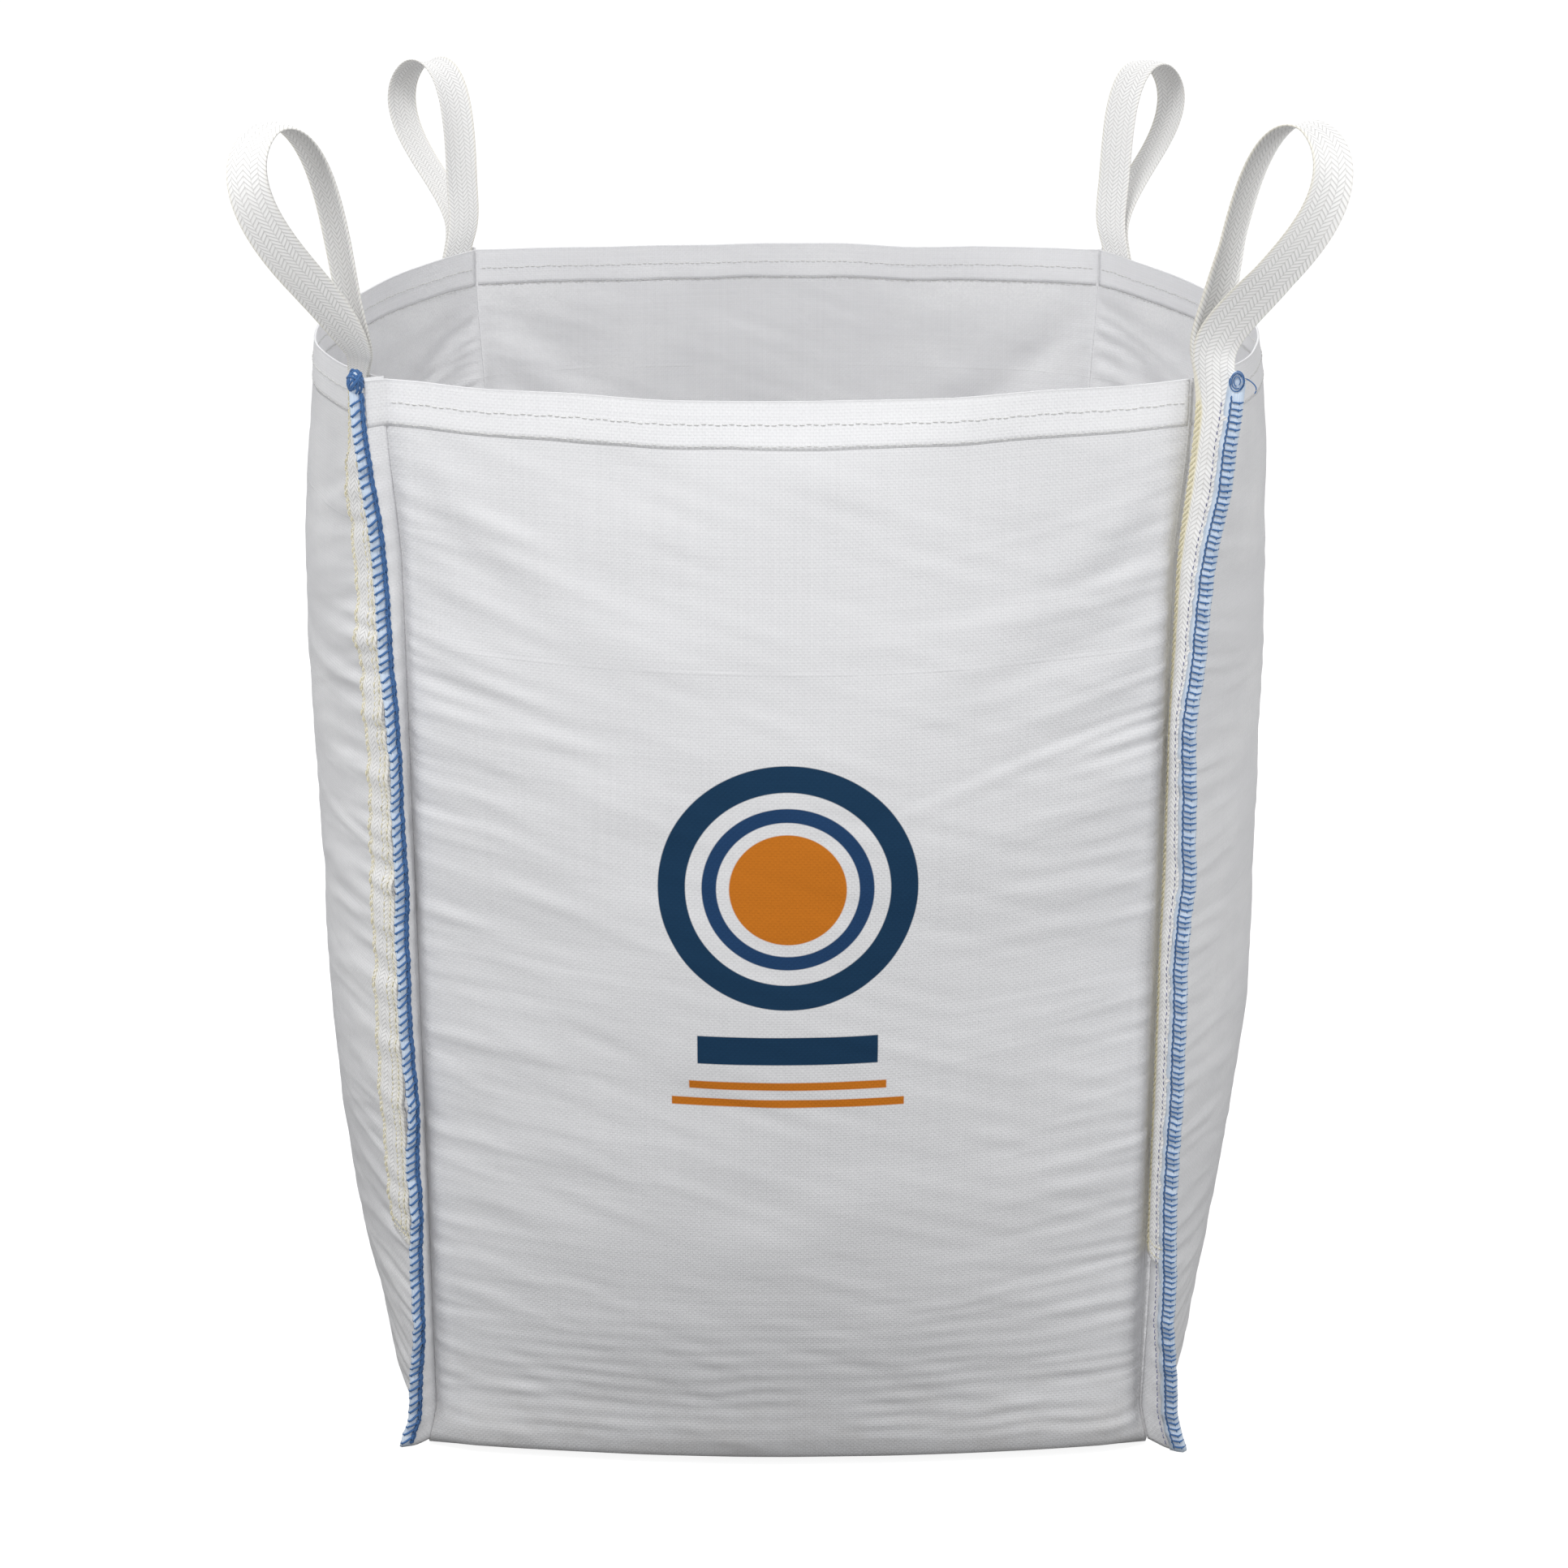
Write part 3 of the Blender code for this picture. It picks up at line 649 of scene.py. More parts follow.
def make_hem(sheet, material):
    """The turned hem: one band folded over the rim, seen outside and inside.

    The front and rear hems run on over the corner fins.
    """
    t = np.linspace(-0.994, 0.994, 150)
    over = PANELS[sheet.panel][0] == "face"
    low = RIM - HEM_DEPTH
    lift = 0.0006
    profile = []
    edge_wave = 0.0012 * lattice_noise(SEED + 60, t * sheet.half, 0 * t, 0.05, 1.0)
    for z in np.linspace(low, RIM - 0.001, 9):
        profile.append((z + edge_wave * (RIM - z) / HEM_DEPTH, lift - 0.0005 * (z < low + 0.001), 0.0))
    for angle in np.linspace(0, math.pi, 6):
        middle = -CLOTH / 2
        reach = lift + CLOTH / 2 + (0.0006 if 0 < angle < math.pi else 0.0)
        profile.append((RIM + 0 * t, middle + reach * math.cos(angle), reach * math.sin(angle)))
    for z in np.linspace(RIM - 0.001, low + 0.003, 9):
        profile.append((z + edge_wave * (RIM - z) / HEM_DEPTH, -CLOTH - lift + 0.0005 * (z < low + 0.004), 0.0))
    outer, uv = [], []
    run = 0.0
    for k, (z, offset, up) in enumerate(profile):
        row = sheet.at(t, z, offset)
        row[:, 2] += up
        across = t * sheet.half
        if over:
            reach = np.array([0.004, 0.009, 0.014, 0.019, 0.024])
            for end in (-1, 1):
                if sheet.corner_at(end) in LEG_ON_FIN:
                    continue
                side = (offset + CLOTH / 2) / (lift + CLOTH / 2) * 0.0019
                height = z[0] if end < 0 else z[-1]
                extra = fin_point(sheet.corner_at(end), height + 0 * reach, reach, side)
                extra[:, 2] += up
                place = end * (sheet.half + reach)
                if end < 0:
                    row = np.concatenate([extra[::-1], row])
                    across = np.concatenate([place[::-1], across])
                else:
                    row = np.concatenate([row, extra])
                    across = np.concatenate([across, place])
        outer.append(row)
        run += HEM_DEPTH / 9
        uv.append(np.stack([across, 0 * across + 0.2 + run], -1))
    outer, uv = np.array(outer), np.array(uv)
    normals = grid_normals(outer, sheet.facing)
    inner = outer - normals * 0.0005
    piece = closed_sheet(sheet.panel + "_hem_band", outer, inner, material, uv, flip=sheet.facing < 0)
    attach(piece, "bag")
    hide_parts(sheet.panel + "_hem")
    return piece


def make_hem_stitches(sheet, material):
    """Two rows of lockstitch along the hem, outside and inside."""
    threads = Threads()
    pitch, length = 0.0074, 0.0056
    count = int(2 * sheet.half * 0.985 / pitch)
    for drop, high, radius in ((0.0235, 0.0013, 0.00055), (0.0465, 0.0008, 0.00045)):
        for side in (1, -1):
            for i in range(count):
                middle = -0.985 + 1.97 * (i + 0.5) / count
                dt = length / 2 / sheet.half
                t = middle + dt * np.array([-1, -0.6, 0, 0.6, 1])
                z = RIM - drop + 0.0006 * np.sin(i * 1.7)
                lift = high if side > 0 else -CLOTH - high
                sink = np.array([0.0007, 0.0001, 0, 0.0001, 0.0007]) * side
                path = sheet.at(t, z + 0 * t, lift - sink)
                threads.tube(path, radius, sides=5)
    piece = threads.build(sheet.panel + "_hem_stitches", material)
    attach(piece, "bag")
    return piece


def fin_point(corner, z, s, lift):
    """A point on a fin: s from its root, lifted off its middle towards its front or rear panel."""
    z, s, lift = np.broadcast_arrays(*(np.asarray(a, float) for a in (z, s, lift)))
    x_sign, y_sign = CORNERS[corner]
    order = list(CORNERS).index(corner)
    heights, roots, edges = zip(*FIN_HEADING[corner])
    waver = 0.085 * lattice_noise(SEED + 70 + order, z, 0 * z, 0.085, 1.0)
    root = np.radians(np.interp(z, heights, roots)) + waver
    turn = np.radians(np.interp(z, heights, edges)) + 1.2 * waver - root
    width = FIN_WIDTH[corner]
    part = np.clip(s / width, 0, None)
    x, y, angle = 0 * z, 0 * z, root
    steps = 8
    for k in range(steps):
        angle = root + turn * smooth(0.35, 0.80, part * (k + 0.5) / steps)
        x = x + np.cos(angle) * s / steps
        y = y + np.sin(angle) * s / steps
    angle = root + turn * smooth(0.35, 0.80, part)
    seed = SEED + 90 + order
    curl = 0.0030 * lattice_noise(seed, z, 0 * z, 0.050, 1.0) * part ** 2
    curl = curl + 0.0010 * part * np.sin(2 * math.pi * z / 0.031 + 4 * lattice_noise(seed + 9, z, 0 * z, 0.07, 1.0))
    calm = 1 - smooth(RIM - 0.10, RIM - 0.05, z)
    lift = lift + curl * calm
    shift = FIN_SHIFT[corner] * (0.35 + 0.50 * smooth(0.02, 0.25, z) + 0.15 * smooth(0.85, 1.2, z))
    x = x + shift - np.sin(angle) * lift
    y = y + np.cos(angle) * lift
    base = corner_point(corner, z)
    rise = 0.0016 * lattice_noise(seed + 5, z, s, 0.03, 0.03) * part
    return base + np.stack([x_sign * x, y_sign * y, rise], -1)


def padded_lift(corner, lift):
    """The lift, moved out over the webbing where that lies on the fin's front face."""
    pad = LEG_ON_FIN.get(corner, 0.0)
    return lift + pad * smooth(0.0004, 0.0020, lift)


def fin_edge(corner, z):
    """Width of a fin at height z: the cut edge wavers."""
    seed = SEED + 80 + list(CORNERS).index(corner)
    return FIN_WIDTH[corner] - 0.001 + 0.0010 * lattice_noise(seed, z, 0 * z, 0.04, 1.0)


def turned(corner):
    """True where a fin's grid, from root to edge and upwards, faces backwards."""
    x_sign, y_sign = CORNERS[corner]
    return x_sign * y_sign > 0


def make_fin(corner, material):
    z = np.linspace(0.012, RIM + 0.004, 260)
    s = np.linspace(0.0, 1.0, 13)
    zz, ss = np.meshgrid(z, s, indexing="ij")
    reach = ss * fin_edge(corner, zz)
    half = 0.0011
    face = fin_point(corner, zz, reach, half)
    back = fin_point(corner, zz, reach, -half)
    uv = np.stack([reach, zz], -1)
    piece = closed_sheet(corner + "_fin", face, back, material, uv, flip=turned(corner))
    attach(piece, "bag")
    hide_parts(corner + "_seam_fin")
    return piece


def make_filler(corner, material):
    """Pale yarn round the fin's edge, under the overedge stitches."""
    z = np.linspace(0.014, RIM + 0.003, 300)
    seed = SEED + 85 + list(CORNERS).index(corner)
    lines = []
    for k, (back, lift) in enumerate(((0.0118, 1), (0.0090, 1), (0.0055, 1), (0.001, 1), (-0.0020, 0.45),
                                      (-0.0020, -0.45), (0.001, -1), (0.0055, -1), (0.0090, -1), (0.0118, -1))):
        fuzz = 0.0004 * lattice_noise(seed + k, z, 0 * z, 0.006, 1.0)
        edge = fin_edge(corner, z)
        back = back + (0.0042 if back > 0.011 and OVEREDGE_SLANT[corner] < 0.005 else 0.0)
        height = lift * (0.0018 + (0.0 if k in (0, 9) else 0.0004)) + fuzz
        ragged = 0.0010 * lattice_noise(seed + 20 + k, z, 0 * z, 0.008, 1.0) if k in (0, 9) else 0.0
        lines.append(fin_point(corner, z, edge - back + ragged, padded_lift(corner, height)))
    outer = np.array(lines).transpose(1, 0, 2)
    centre = fin_point(corner, z, fin_edge(corner, z) - 0.008, 0.0)[:, None]
    inner = outer + unit(centre - outer) * 0.0005
    u = np.linspace(0, 0.034, outer.shape[1])
    uv = np.stack(np.broadcast_arrays(u[None, :], z[:, None]), -1)
    piece = closed_sheet(corner + "_filler_yarn", outer, inner, material, uv, flip=not turned(corner))
    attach(piece, "bag")
    return piece


def make_overedge(corner, material):
    """Blue overedge stitches: a thick inner rail on each face and rungs round the edge."""
    threads = Threads()
    rng = np.random.default_rng(SEED + 95 + list(CORNERS).index(corner))
    low, high = 0.018, RIM - 0.010
    slant = OVEREDGE_SLANT[corner]
    pitch = STITCH_PITCH * (0.70 if slant < 0.005 else 0.95)
    z = np.arange(low, high, 0.0018)
    phase = 2 * math.pi * z / pitch
    for face in (1, -1):
        rails = ((0.0106, 0.00095 if slant < 0.005 else 0.0012, 0.0030), (0.0090, 0.0012, 0.0032), (0.0098, 0.0011, 0.0042),
                 (0.0122, 0.0011, 0.0027))
        for k, (back, radius, lift) in enumerate(rails[:1] if slant < 0.005 else rails):
            weave = 0.0005 * np.sin(phase + 2.1 * k)
            high_up = padded_lift(corner, face * (lift + 0.0003 * np.cos(phase + k)))
            rail = fin_point(corner, z, fin_edge(corner, z) - back + weave, high_up)
            threads.tube(rail, radius, sides=6)
    back = np.array([0.0094, 0.0077, 0.0058, 0.0040, 0.0022, 0.0006, -0.0006, -0.0015])
    lift = np.array([3.2, 3.3, 3.3, 3.25, 3.1, 2.6, 1.5, 0.0]) * 0.001
    back = np.concatenate([back, back[-2::-1]])
    lift = np.concatenate([lift, -lift[-2::-1]])
    part = np.linspace(0, 1, len(back))
    for i in range(int((high - low) / pitch)):
        start = low + (i + 0.5) * pitch + rng.uniform(-0.0008, 0.0008)
        rise = slant * rng.uniform(0.85, 1.15)
        wiggle = 0.0006 * rng.uniform(-1, 1) * np.sin(part * 2 * math.pi * 2)
        climb = start + rise * (1 - 2 * np.abs(part - 0.5)) * -1.0 + rise * 0.5 + wiggle
        path = fin_point(corner, climb, fin_edge(corner, climb) - back, padded_lift(corner, lift))
        threads.tube(path, OVEREDGE_RADIUS[corner] * rng.uniform(0.9, 1.12), sides=6, flatten=0.85)
        top = climb[len(back) // 2]
        run = top + (0.0012 if slant > 0.005 else 0.0018) * np.linspace(-1, 1, 5)
        threads.tube(fin_point(corner, run, fin_edge(corner, run) + 0.0008, 0.0016), 0.00090, sides=6)
        if slant < 0.005:
            for face in (1, -1):
                loop_lift = padded_lift(corner, face * 0.0034)
                threads.tube(fin_point(corner, run, fin_edge(corner, run) - 0.0012, loop_lift), 0.00085, sides=6)
    piece = threads.build(corner + "_overedge_thread", material)
    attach(piece, "bag")
    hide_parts(corner + "_seam_thread")
    return piece


def make_safety_stitch(corner, material):
    """The fine line of chain stitch beside the overedge."""
    threads = Threads()
    pitch = 0.0078
    if OVEREDGE_SLANT[corner] > 0.005:
        return None
    for i in range(int((RIM - 0.03) / pitch)):
        z = 0.02 + i * pitch + np.linspace(0, 0.0056, 5)
        for face in (1, -1):
            lift = (0.0013 + 0.0004 * np.array([0, 1, 1, 1, 0])) * face
            threads.tube(fin_point(corner, z, fin_edge(corner, z) - 0.0196, padded_lift(corner, lift)), 0.00062, sides=5)
    piece = threads.build(corner + "_safety_stitch", material)
    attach(piece, "bag")
    return piece


def make_knot(corner, material, core_material):
    """The thread chain bunched up at the top of the seam."""
    rng = np.random.default_rng(SEED + 120 + list(CORNERS).index(corner))
    threads = Threads()
    tight = corner in ("front_left", "rear_right")
    middle = FIN_WIDTH[corner] - 0.0070
    centre_z = RIM + 0.001 if tight else RIM + 0.004
    high_up = 0.0030 + LEG_ON_FIN.get(corner, 0.0)
    if tight:
        for _ in range(15):
            axis = unit(rng.normal(size=3))
            side = unit(np.cross(axis, rng.normal(size=3)))
            other = np.cross(axis, side)
            a = np.linspace(0, rng.uniform(3.6, 6.0), 22)
            ball = (np.cos(a)[:, None] * side + np.sin(a)[:, None] * other) * rng.uniform(0.84, 1.0)
            s, z, lift = ball[:, 0] * 0.0092, ball[:, 1] * 0.0145, ball[:, 2] * 0.0080
            threads.tube(fin_point(corner, centre_z + z, middle + s, lift), 0.00125, sides=6)
    else:
        for k in range(4):
            a = np.linspace(0, 2 * math.pi * rng.uniform(0.6, 0.95), 26) + rng.uniform(0, 6.28)
            tilt, small = rng.uniform(-1.2, 1.2), (1.0, 0.72, 0.45, 0.9)[k]
            s = 0.0078 * small * (np.cos(a) * math.cos(tilt) - 0.7 * np.sin(a) * math.sin(tilt))
            z = 0.0108 * small * (np.sin(a) * math.cos(tilt) + 0.7 * np.cos(a) * math.sin(tilt))
            threads.tube(fin_point(corner, centre_z + z, middle + s, high_up + 0.0005 * k), 0.00062, sides=6)
        run = np.linspace(0, 1, 14)
        tail = fin_point(corner, centre_z + 0.004 - 0.016 * run ** 1.5, middle + 0.008 + 0.013 * np.sin(run * 2.0), high_up + 0.003 * run)
        threads.tube(tail, 0.0007, sides=5)
    piece = threads.build(corner + "_thread_knot", material)
    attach(piece, "bag")
    rows, columns = np.meshgrid(np.linspace(0.02, math.pi - 0.02, 12), np.arange(18) * math.pi / 9, indexing="ij")
    wide, tall, deep = (0.0080, 0.0130, 0.0066) if tight else (0.0072, 0.0105, 0.0026)
    s = middle + wide * np.sin(rows) * np.cos(columns)
    lift = deep * np.sin(rows) * np.sin(columns) + LEG_ON_FIN.get(corner, 0.0)
    core = fin_point(corner, centre_z + tall * np.cos(rows), s, lift)
    faces = grid_faces(12, 18, close_columns=True, flip=not turned(corner))
    faces.append(tuple(range(18))[::1 if turned(corner) else -1])
    faces.append(tuple(11 * 18 + c for c in range(18))[::-1 if turned(corner) else 1])
    uv = np.stack([rows * tall, columns * wide], -1)
    ball = new_object(corner + "_knot_core", core, faces, core_material, uv)
    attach(ball, "bag")
    return piece


def loop_centre(corner, steps):
    """Middle line and width direction of a loop, from its outer to its inner strand."""
    x_sign, y_sign = CORNERS[corner]
    size, lean, breadth = LOOP_SHAPE[corner]
    out = np.array([x_sign, y_sign, 0]) / math.sqrt(2)
    across = np.array([-out[1], out[0], 0])
    hinge = np.array([x_sign * corner_x(y_sign, RIM), y_sign * CORNER_Y, 0]) + out * HINGE_OUT
    hinge[2] = HINGE_HEIGHT
    angle = math.pi * np.linspace(0, 1, steps)
    bow = np.sin(2 * angle) * np.sin(angle) ** 2.2
    bow = bow / bow.max()
    side = bow * np.where(angle < math.pi / 2, 0.55, 0.45) * breadth
    side = side + np.where(angle < math.pi / 2, 1, -1) * 0.0013 * np.abs(np.cos(angle))
    lift = size * (1 - np.cos(2 * angle)) / 2
    lean = math.radians(lean)
    out_dir = out * math.cos(lean) - np.array([0, 0, 1]) * math.sin(lean)
    up_dir = np.array([0, 0, 1]) * math.cos(lean) + out * math.sin(lean)
    points = hinge + side[:, None] * out_dir + lift[:, None] * up_dir
    points[:, :2] += np.clip(1 - lift / size, 0, 1)[:, None] ** 1.5 * np.array(LOOP_FOOT[corner])
    tangent = unit(np.gradient(points, axis=0))
    face = unit(np.cross(np.broadcast_to(across, points.shape), tangent))
    outward = 1.0 if face[steps // 4] @ out > 0 else -1.0
    face = face * outward
    turn = x_sign
    first, second = LOOP_TWIST[corner]
    twist = np.where(angle < math.pi / 2, first, second) * np.abs(np.sin(2 * angle)) ** 1.2
    base = LOOP_BASE_TURN[corner] * np.clip(1 - 1.5 * np.sin(angle), 0, 1) ** 0.8
    twist = twist + np.where(angle < math.pi / 2, 1, -1) * base
    width = across * np.cos(twist)[:, None] + face * (turn * np.sin(twist))[:, None]
    return points, unit(width)


def make_webbing(corner, sheets, material, stitch_material):
    """One length of webbing: up the seam, round the loop and back down the seam."""
    x_sign, y_sign = CORNERS[corner]
    sheet = sheets["left_side" if x_sign < 0 else "right_side"]
    half, thick = WEB_WIDTH / 2, WEB_LAYER / 2
    outline = [(-1, 0.0), (-0.99, 0.8), (-0.94, 1.15), (-0.86, 0.95), (-0.6, 1.0), (-0.3, 1.0), (0, 1.0), (0.3, 1.0),
               (0.6, 1.0), (0.86, 0.95), (0.94, 1.15), (0.99, 0.8), (1, 0.0)]
    outline += [(a, -b) for a, b in outline[-2:0:-1]]
    a_line = np.array([a for a, _ in outline], float)
    b_line = np.array([b for _, b in outline], float)
    near = 1 - LEG_INSET[corner] / sheet.half
    far = near - WEB_WIDTH / sheet.half

    def along(part, height):
        splay = LEG_SPLAY.get(corner, 0.0) / sheet.half * smooth(0.80, 1.22, height)
        return (near + (far - near) * part - splay) * y_sign

    z = np.linspace(LEG_BOTTOM, RIM + 0.010, 150)
    loop, width = loop_centre(corner, 150)
    loop, width = loop[3:-3], width[3:-3]
    # The first leg's near edge has to meet the same edge of the loop.
    on_fin = corner in LEG_ON_FIN
    root, brim = -0.0005, WEB_WIDTH - 0.0005
    near_way = sheet.at(near * y_sign, 1.2) - sheet.at(far * y_sign, 1.2)
    if on_fin:
        near_way = fin_point(corner, RIM, root, 0.0) - fin_point(corner, RIM, brim, 0.0)
    width = width * (1.0 if near_way @ width[0] > 0 else -1.0)
    normal = unit(np.cross(width, unit(np.gradient(loop, axis=0))))
    up = np.array([0.0, 0.0, 1.0])
    facing = 1.0 if np.cross(near_way, up) @ np.array([0, y_sign, 0] if on_fin else [x_sign, 0, 0]) > 0 else -1.0
    legs = []
    for layer in (1, 0):
        middle = 0.0010 + thick + layer * (WEB_LAYER + 0.0004)
        zz, aa = np.meshgrid(z, a_line, indexing="ij")
        bb = np.broadcast_to(b_line, zz.shape)
        t = along((1 - aa) / 2, zz)
        side = facing if layer else -facing
        ring = sheet.at(t, np.minimum(zz, RIM), middle + bb * thick * side)
        if on_fin:
            s = (root * (1 + aa) + brim * (1 - aa)) / 2
            ring = fin_point(corner, np.minimum(zz, RIM), s, middle + 0.0004 + bb * thick * side)
        ring[..., 2] += np.maximum(zz - RIM, 0)
        legs.append(ring)
    around = loop[:, None] + width[:, None] * (a_line * half)[None, :, None]
    around = around + normal[:, None] * (b_line * thick)[None, :, None]
    rings = np.concatenate([legs[0], around, legs[1][::-1]])
    centre = rings.mean(axis=1)
    length = np.concatenate([[0], np.cumsum(np.linalg.norm(np.diff(centre, axis=0), axis=1))])
    even = np.linspace(0, length[-1], 560)
    rings = np.stack([np.stack([np.interp(even, length, rings[:, c, k]) for k in range(3)], -1)
                      for c in range(rings.shape[1])], 1)
    centre = rings.mean(axis=1)
    strength = smooth(RIM - 0.030, RIM - 0.004, centre[:, 2]) * (1 - smooth(HINGE_HEIGHT + 0.02, HINGE_HEIGHT + 0.07, centre[:, 2]))
    for _ in range(60):
        blur = 0.5 * rings[1:-1] + 0.25 * (rings[:-2] + rings[2:])
        rings[1:-1] += (blur - rings[1:-1]) * strength[1:-1, None, None]
    seed = SEED + 150 + list(CORNERS).index(corner)
    flat = rings[:, 0] - rings[:, len(outline) // 2]
    spread = np.linalg.norm(flat, axis=1)
    out = unit(np.cross(flat, np.gradient(rings.mean(axis=1), axis=0)))
    free = smooth(HINGE_HEIGHT + 0.01, HINGE_HEIGHT + 0.09, centre[:, 2])
    cup = (a_line[None, :] ** 2 - 0.4) * (LOOP_CUP * (0.7 + 0.6 * lattice_noise(seed, even, 0 * even, 0.12, 1.0)) * free)[:, None]
    rings = rings + out[:, None] * cup[..., None]
    across = np.broadcast_to((1 + a_line) / 2 * WEB_WIDTH, rings.shape[:2])
    if corner == "front_left":
        # This webbing's cream edge is outermost on the loop, and both edges are pale below the rim.
        pale = np.minimum(across, WEB_WIDTH - across)
        across = np.where(centre[:, 2:] > RIM, WEB_WIDTH - across, pale)
    uv = np.stack(np.broadcast_arrays(across, even[:, None]), -1)
    rows, columns = rings.shape[:2]
    faces = grid_faces(rows, columns, close_columns=True, flip=True)
    faces.append(tuple(range(columns)))
    faces.append(tuple((rows - 1) * columns + c for c in range(columns))[::-1])
    piece = new_object(corner + "_webbing", rings, faces, material, uv)
    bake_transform(piece)
    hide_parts(corner + "_loop", corner + "_inner_leg", corner + "_outer_leg")
    if on_fin:
        make_leg_stitches(corner, lambda part, z, lift: fin_point(corner, z, root + (brim - root) * part, lift), stitch_material)
    else:
        make_leg_stitches(corner, lambda part, z, lift: sheet.at(along(part, z), z, lift), stitch_material)
    return piece


def make_leg_stitches(corner, place, material):
    """Cream rows that sew the webbing down, with bar tacks below."""
    threads = Threads()
    pitch = 0.0072
    lift = 0.0010 + 2 * WEB_LAYER + 0.0008 + (0.0004 if corner in LEG_ON_FIN else 0.0)
    rows = (0.10, 0.30, 0.85, 0.93)
    if corner in LEG_ON_FIN:
        rows = (0.02, 0.055, 0.09, 0.125, 0.16)
    for row in rows:
        for i in range(int((RIM - 0.03 - LEG_BOTTOM) / pitch)):
            z = LEG_BOTTOM + 0.008 + (i + row * 7 % 1) * pitch + np.linspace(0, 0.0058, 5)
            sink = 0.0006 * np.array([1, 0, 0, 0, 1])
            threads.tube(place(row + 0 * z, z, lift - sink), 0.00075, sides=5)
    for level in (0.010, 0.022):
        for i in range(7):
            part = 0.08 + 0.84 * np.linspace(i / 7, (i + 0.8) / 7, 5)
            threads.tube(place(part, LEG_BOTTOM + level + 0 * part, lift + 0 * part), 0.00055, sides=5)
    piece = threads.build(corner + "_webbing_stitches", material)
    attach(piece, "bag")
    return piece


def make_base(sheets, material):
    """The floor of the bag, between the front and rear folds."""
    rows = 60
    front, rear = sheets["front"], sheets["rear"]
    a = front.points[0]
    b = rear.points[0]
    mix = np.linspace(0, 1, rows)[:, None, None]
    line = a[None] * (1 - mix) + b[None] * mix
    bow = 4 * mix[..., 0] * (1 - mix[..., 0])
    line[..., 0] += np.sign(front.t)[None] * np.abs(front.t)[None] * SIDE_BULGE[0] * bow
    top = line.copy()
    line[..., 2] = 0.0001
    top[..., 2] = 0.0001 + CLOTH
    uv = line[..., :2].copy()
    piece = closed_sheet("base_cloth", top, line, material, uv)
    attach(piece, "bag")
    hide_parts("base_panel")
    return piece


def base_seam_point(sign, y, s, lift):
    """A point on a base seam fin: s outward from the side panel's foot."""
    t = y / (CORNER_Y - FOLD_RADIUS)
    edge = corner_x(-1, 0 * y) + SIDE_BULGE[0] * (1 - np.clip(t, -1, 1) ** 2)
    wave = 0.0016 * lattice_noise(SEED + 172 + sign, y, 0 * y, 0.05, 1.0)
    return np.stack(np.broadcast_arrays(sign * (edge + s), y, 0.0042 + wave * np.clip(s / 0.02, 0, 1) + lift), -1)


def make_base_seam(side, cloth, thread):
    """The seam between the floor and a side panel, with its overedge thread."""
    sign = -1 if side == "left" else 1
    y = np.linspace(-0.405, 0.405, 160)
    s = np.linspace(0.0, 0.0070, 7)
    yy, ss = np.meshgrid(y, s, indexing="ij")
    uv = np.stack([ss, yy], -1)
    face = base_seam_point(sign, yy, ss, 0.0010)
    back = base_seam_point(sign, yy, ss, -0.0010)
    fin = closed_sheet(side + "_base_fin", face, back, cloth, uv, flip=sign < 0)
    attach(fin, "bag")
    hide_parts(side + "_base_seam_fin")
    threads = Threads()
    fine = np.arange(-0.403, 0.403, 0.003)
    threads.tube(base_seam_point(sign, fine, 0.0020 + 0 * fine, 0.0020 + 0 * fine), 0.0009)
    for i in range(int(0.8 / STITCH_PITCH)):
        start = -0.400 + i * STITCH_PITCH
        reach = np.array([0.0015, 0.0035, 0.0060, 0.0080, 0.0086, 0.0080, 0.0060, 0.0035])
        lift = np.array([2.2, 2.3, 2.2, 1.4, 0.0, -1.4, -1.9, -1.9]) * 0.001
        run = start + 0.004 * np.linspace(0, 1, len(reach))
        threads.tube(base_seam_point(sign, run, reach, lift), 0.0009)
    stitches = threads.build(side + "_base_overedge", thread)
    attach(stitches, "bag")
    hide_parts(side + "_base_seam_thread")
    return fin, stitches


# ---------------------------------------------------------------- studio
def make_floor():
    nodes = Nodes("studio_floor")
    ray = nodes.add("ShaderNodeLightPath")
    place = nodes.add("ShaderNodeNewGeometry")
    distance = nodes.add("ShaderNodeVectorMath", {0: place.outputs["Position"]}, operation="LENGTH")
    bounce = nodes.mix(nodes.ramp(distance.outputs["Value"], 0.9, 2.4), (0.17, 0.17, 0.17, 1), (0.50, 0.50, 0.50, 1))
    tone = nodes.mix(ray.outputs["Is Camera Ray"], bounce, (0.34, 0.34, 0.34, 1))
    nodes.finish(tone, 0.9, specular=0.0)
    nodes.put((1, 1, 1, 1), nodes.shader.inputs["Emission Color"])
    nodes.put(nodes.math("MULTIPLY", ray.outputs["Is Camera Ray"], 0.86), nodes.shader.inputs["Emission Strength"])
    size = 60.0
    corners = [(-size, -size, 0), (size, -size, 0), (size, size, 0), (-size, size, 0)]
    floor = new_object("studio_floor", corners, [(0, 1, 2, 3)], nodes.material, smooth_shade=False)
    floor.location.z = -0.0004


def area_light(name, location, target, size, power):
    data = bpy.data.lights.new(name, "AREA")
    data.shape = "RECTANGLE"
    data.size, data.size_y = size
    data.energy = power
    light = bpy.data.objects.new(name, data)
    bpy.context.scene.collection.objects.link(light)
    light.location = location
    aim(light, target)


def lamp(kind, name, location, power, radius):
    data = bpy.data.lights.new(name, kind)
    data.energy, data.shadow_soft_size = power, radius
    light = bpy.data.objects.new(name, data)
    bpy.context.scene.collection.objects.link(light)
    light.location = location
    light.visible_camera = False
    return light


def aim(light, target):
    back = light.location - Vector(target)
    light.rotation_euler = back.to_track_quat("Z", "Y").to_euler()


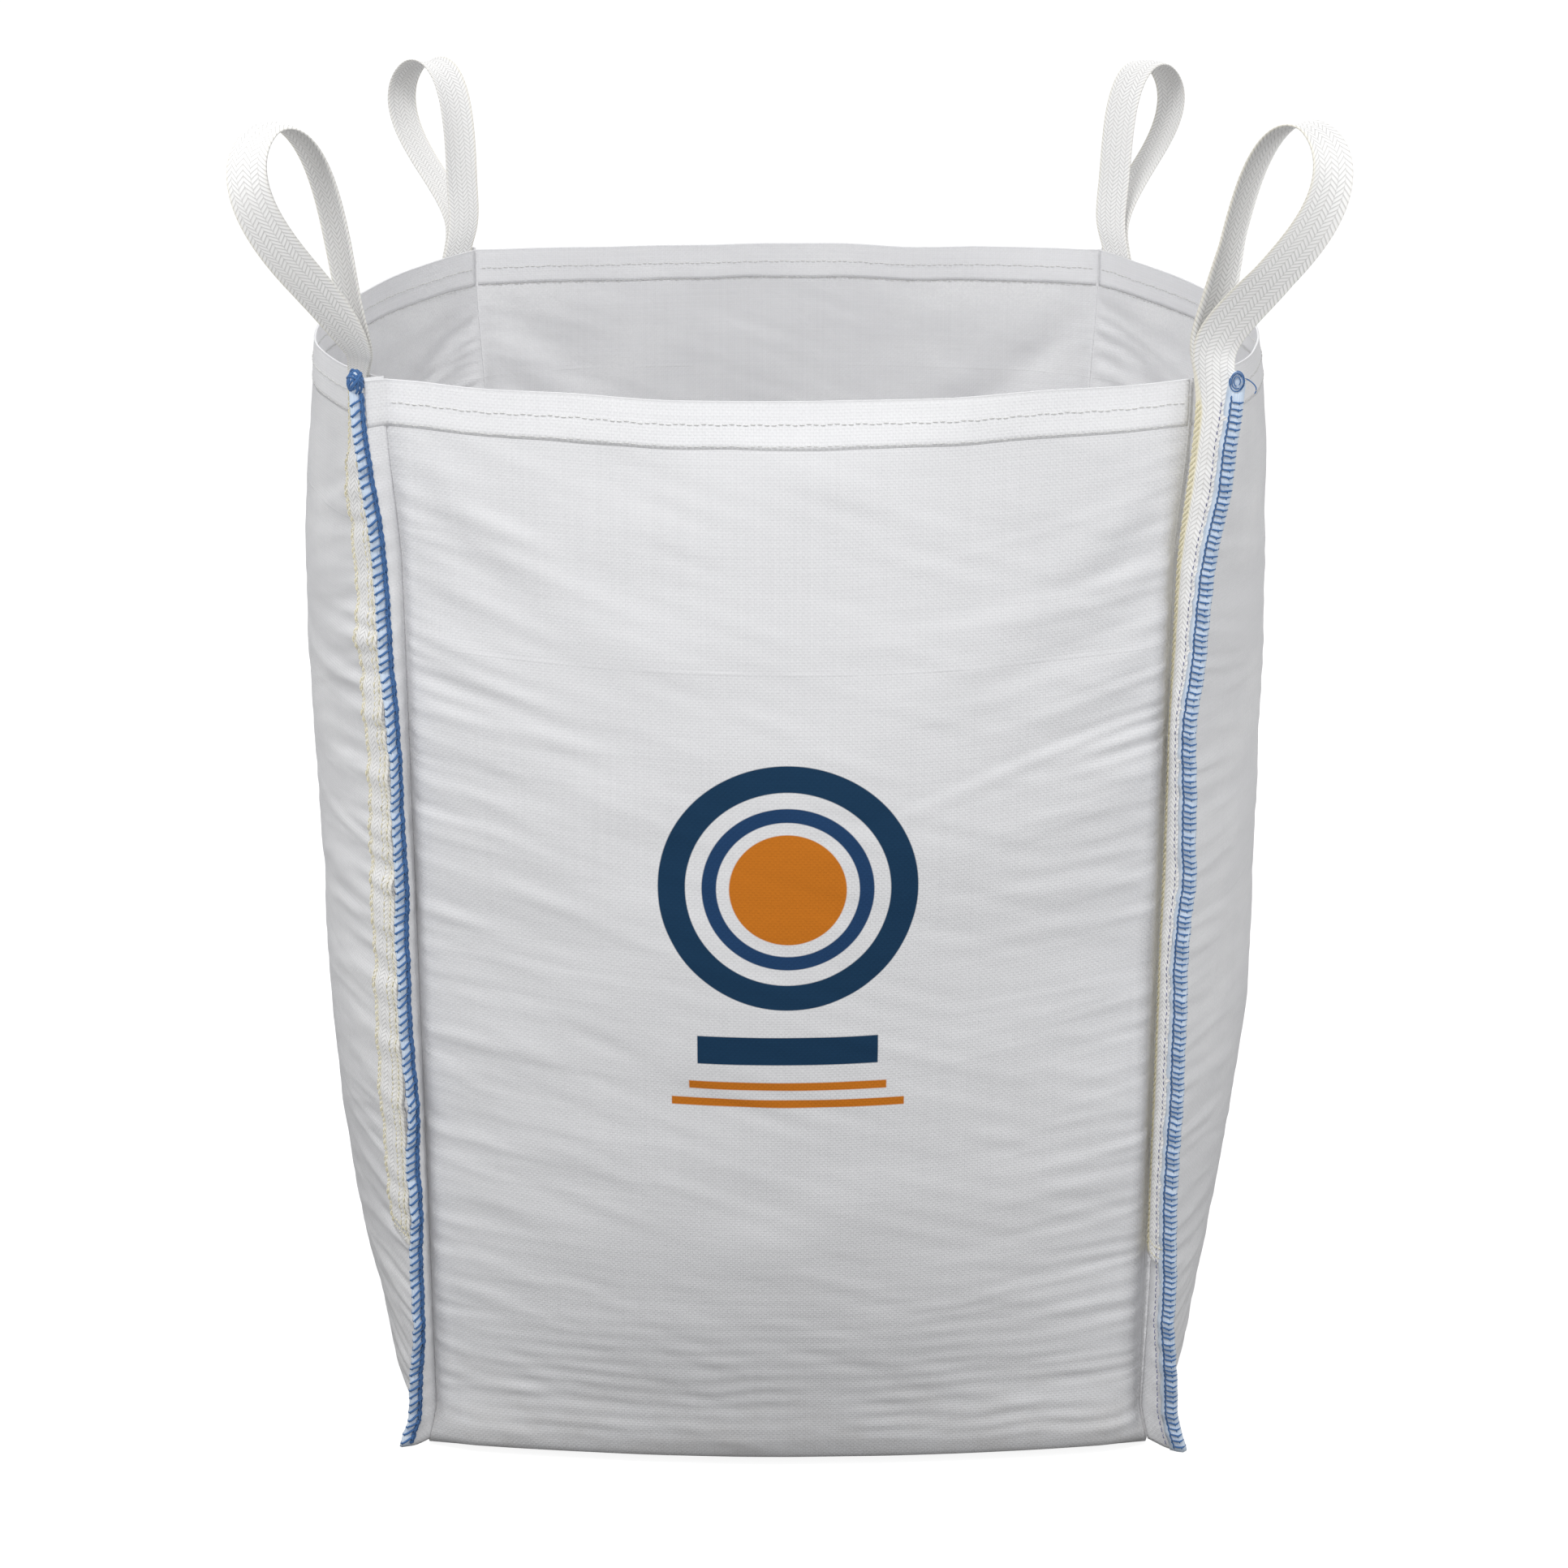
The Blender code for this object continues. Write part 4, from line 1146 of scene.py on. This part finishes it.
def make_light():
    world = bpy.data.worlds.new("studio")
    bpy.context.scene.world = world
    world.use_nodes = True
    tree = world.node_tree
    background = tree.nodes["Background"]
    ray = tree.nodes.new("ShaderNodeLightPath")
    strength = tree.nodes.new("ShaderNodeMapRange")
    strength.inputs["To Min"].default_value = 0.60
    strength.inputs["To Max"].default_value = 1.12
    tree.links.new(ray.outputs["Is Camera Ray"], strength.inputs["Value"])
    tree.links.new(strength.outputs[0], background.inputs["Strength"])
    background.inputs["Color"].default_value = (0.985, 0.99, 1.0, 1.0)
    area_light("key", (-0.9, -2.4, 4.4), (0, 0, 0.9), (1.3, 1.3), 80)
    area_light("left", (-3.4, -2.4, 1.3), (0, 0, 1.0), (1.6, 2.0), 20)
    area_light("right", (3.4, -2.4, 1.3), (0, 0, 1.0), (1.6, 2.0), 33)
    area_light("back", (0.6, 3.4, 3.6), (0, 0, 0.8), (2.2, 2.2), 54)
    lamp("POINT", "glow", (0.10, 0.0, 0.80), 1.1, 0.30)    # the cloth lets light through to the inside
    for side in (-1, 1):
        spot = lamp("SPOT", "loop_spot", (side * 2.3, -2.3, 0.35), 70, 0.15)
        spot.data.spot_size, spot.data.spot_blend = math.radians(11), 0.6
        aim(spot, (side * 0.60, -0.60, 1.50))
    bpy.context.scene.view_settings.view_transform = "Standard"


def make_camera():
    data = bpy.data.cameras.new("camera")
    data.sensor_width = 36.0
    data.lens = 70.36
    camera = bpy.data.objects.new("camera", data)
    bpy.context.scene.collection.objects.link(camera)
    camera.location = (-0.0042, -3.6922, 1.9332)
    camera.rotation_euler = (math.pi / 2 - 0.3241, 0.0, 0.0)
    bpy.context.scene.camera = camera


# ---------------------------------------------------------------- build
def main():
    make_camera()
    make_light()
    make_floor()
    detail = 1.0
    sheets = {name: Sheet(name, int(170 * detail), int(300 * detail)) for name in PANELS}
    creases = (("u", -0.085), ("u", 0.20), ("v", 1.01))
    front_cloth = woven_material("front_woven", printed=True, creases=creases)
    plain_cloth = woven_material("plain_woven", creases=(("u", 0.04), ("v", 0.66), ("v", 1.13)))
    hem_cloth = woven_material("hem_woven", tone=0.86, dirt=False)
    webbing = webbing_material()
    blue = thread_material("blue_thread", (0.022, 0.080, 0.260, 1), (0.085, 0.210, 0.440, 1))
    violet = thread_material("safety_thread", (0.12, 0.12, 0.30, 1), (0.30, 0.32, 0.52, 1))
    white = thread_material("white_thread", (0.60, 0.60, 0.58, 1), (0.80, 0.80, 0.78, 1))
    cream = thread_material("cream_thread", (0.80, 0.74, 0.50, 1), (0.93, 0.88, 0.68, 1))
    filler = filler_material()
    for name, sheet in sheets.items():
        cloth = make_panel(sheet, front_cloth if name == "front" else plain_cloth)
        hem = make_hem(sheet, hem_cloth)
        stitches = make_hem_stitches(sheet, white)
    base = make_base(sheets, plain_cloth)
    for corner in CORNERS:
        fin = make_fin(corner, hem_cloth)
        make_filler(corner, filler)
        make_overedge(corner, blue)
        make_safety_stitch(corner, violet)
        make_knot(corner, blue, filler)
        make_webbing(corner, sheets, webbing, cream)
    for side in ("left", "right"):
        make_base_seam(side, hem_cloth, blue)


main()
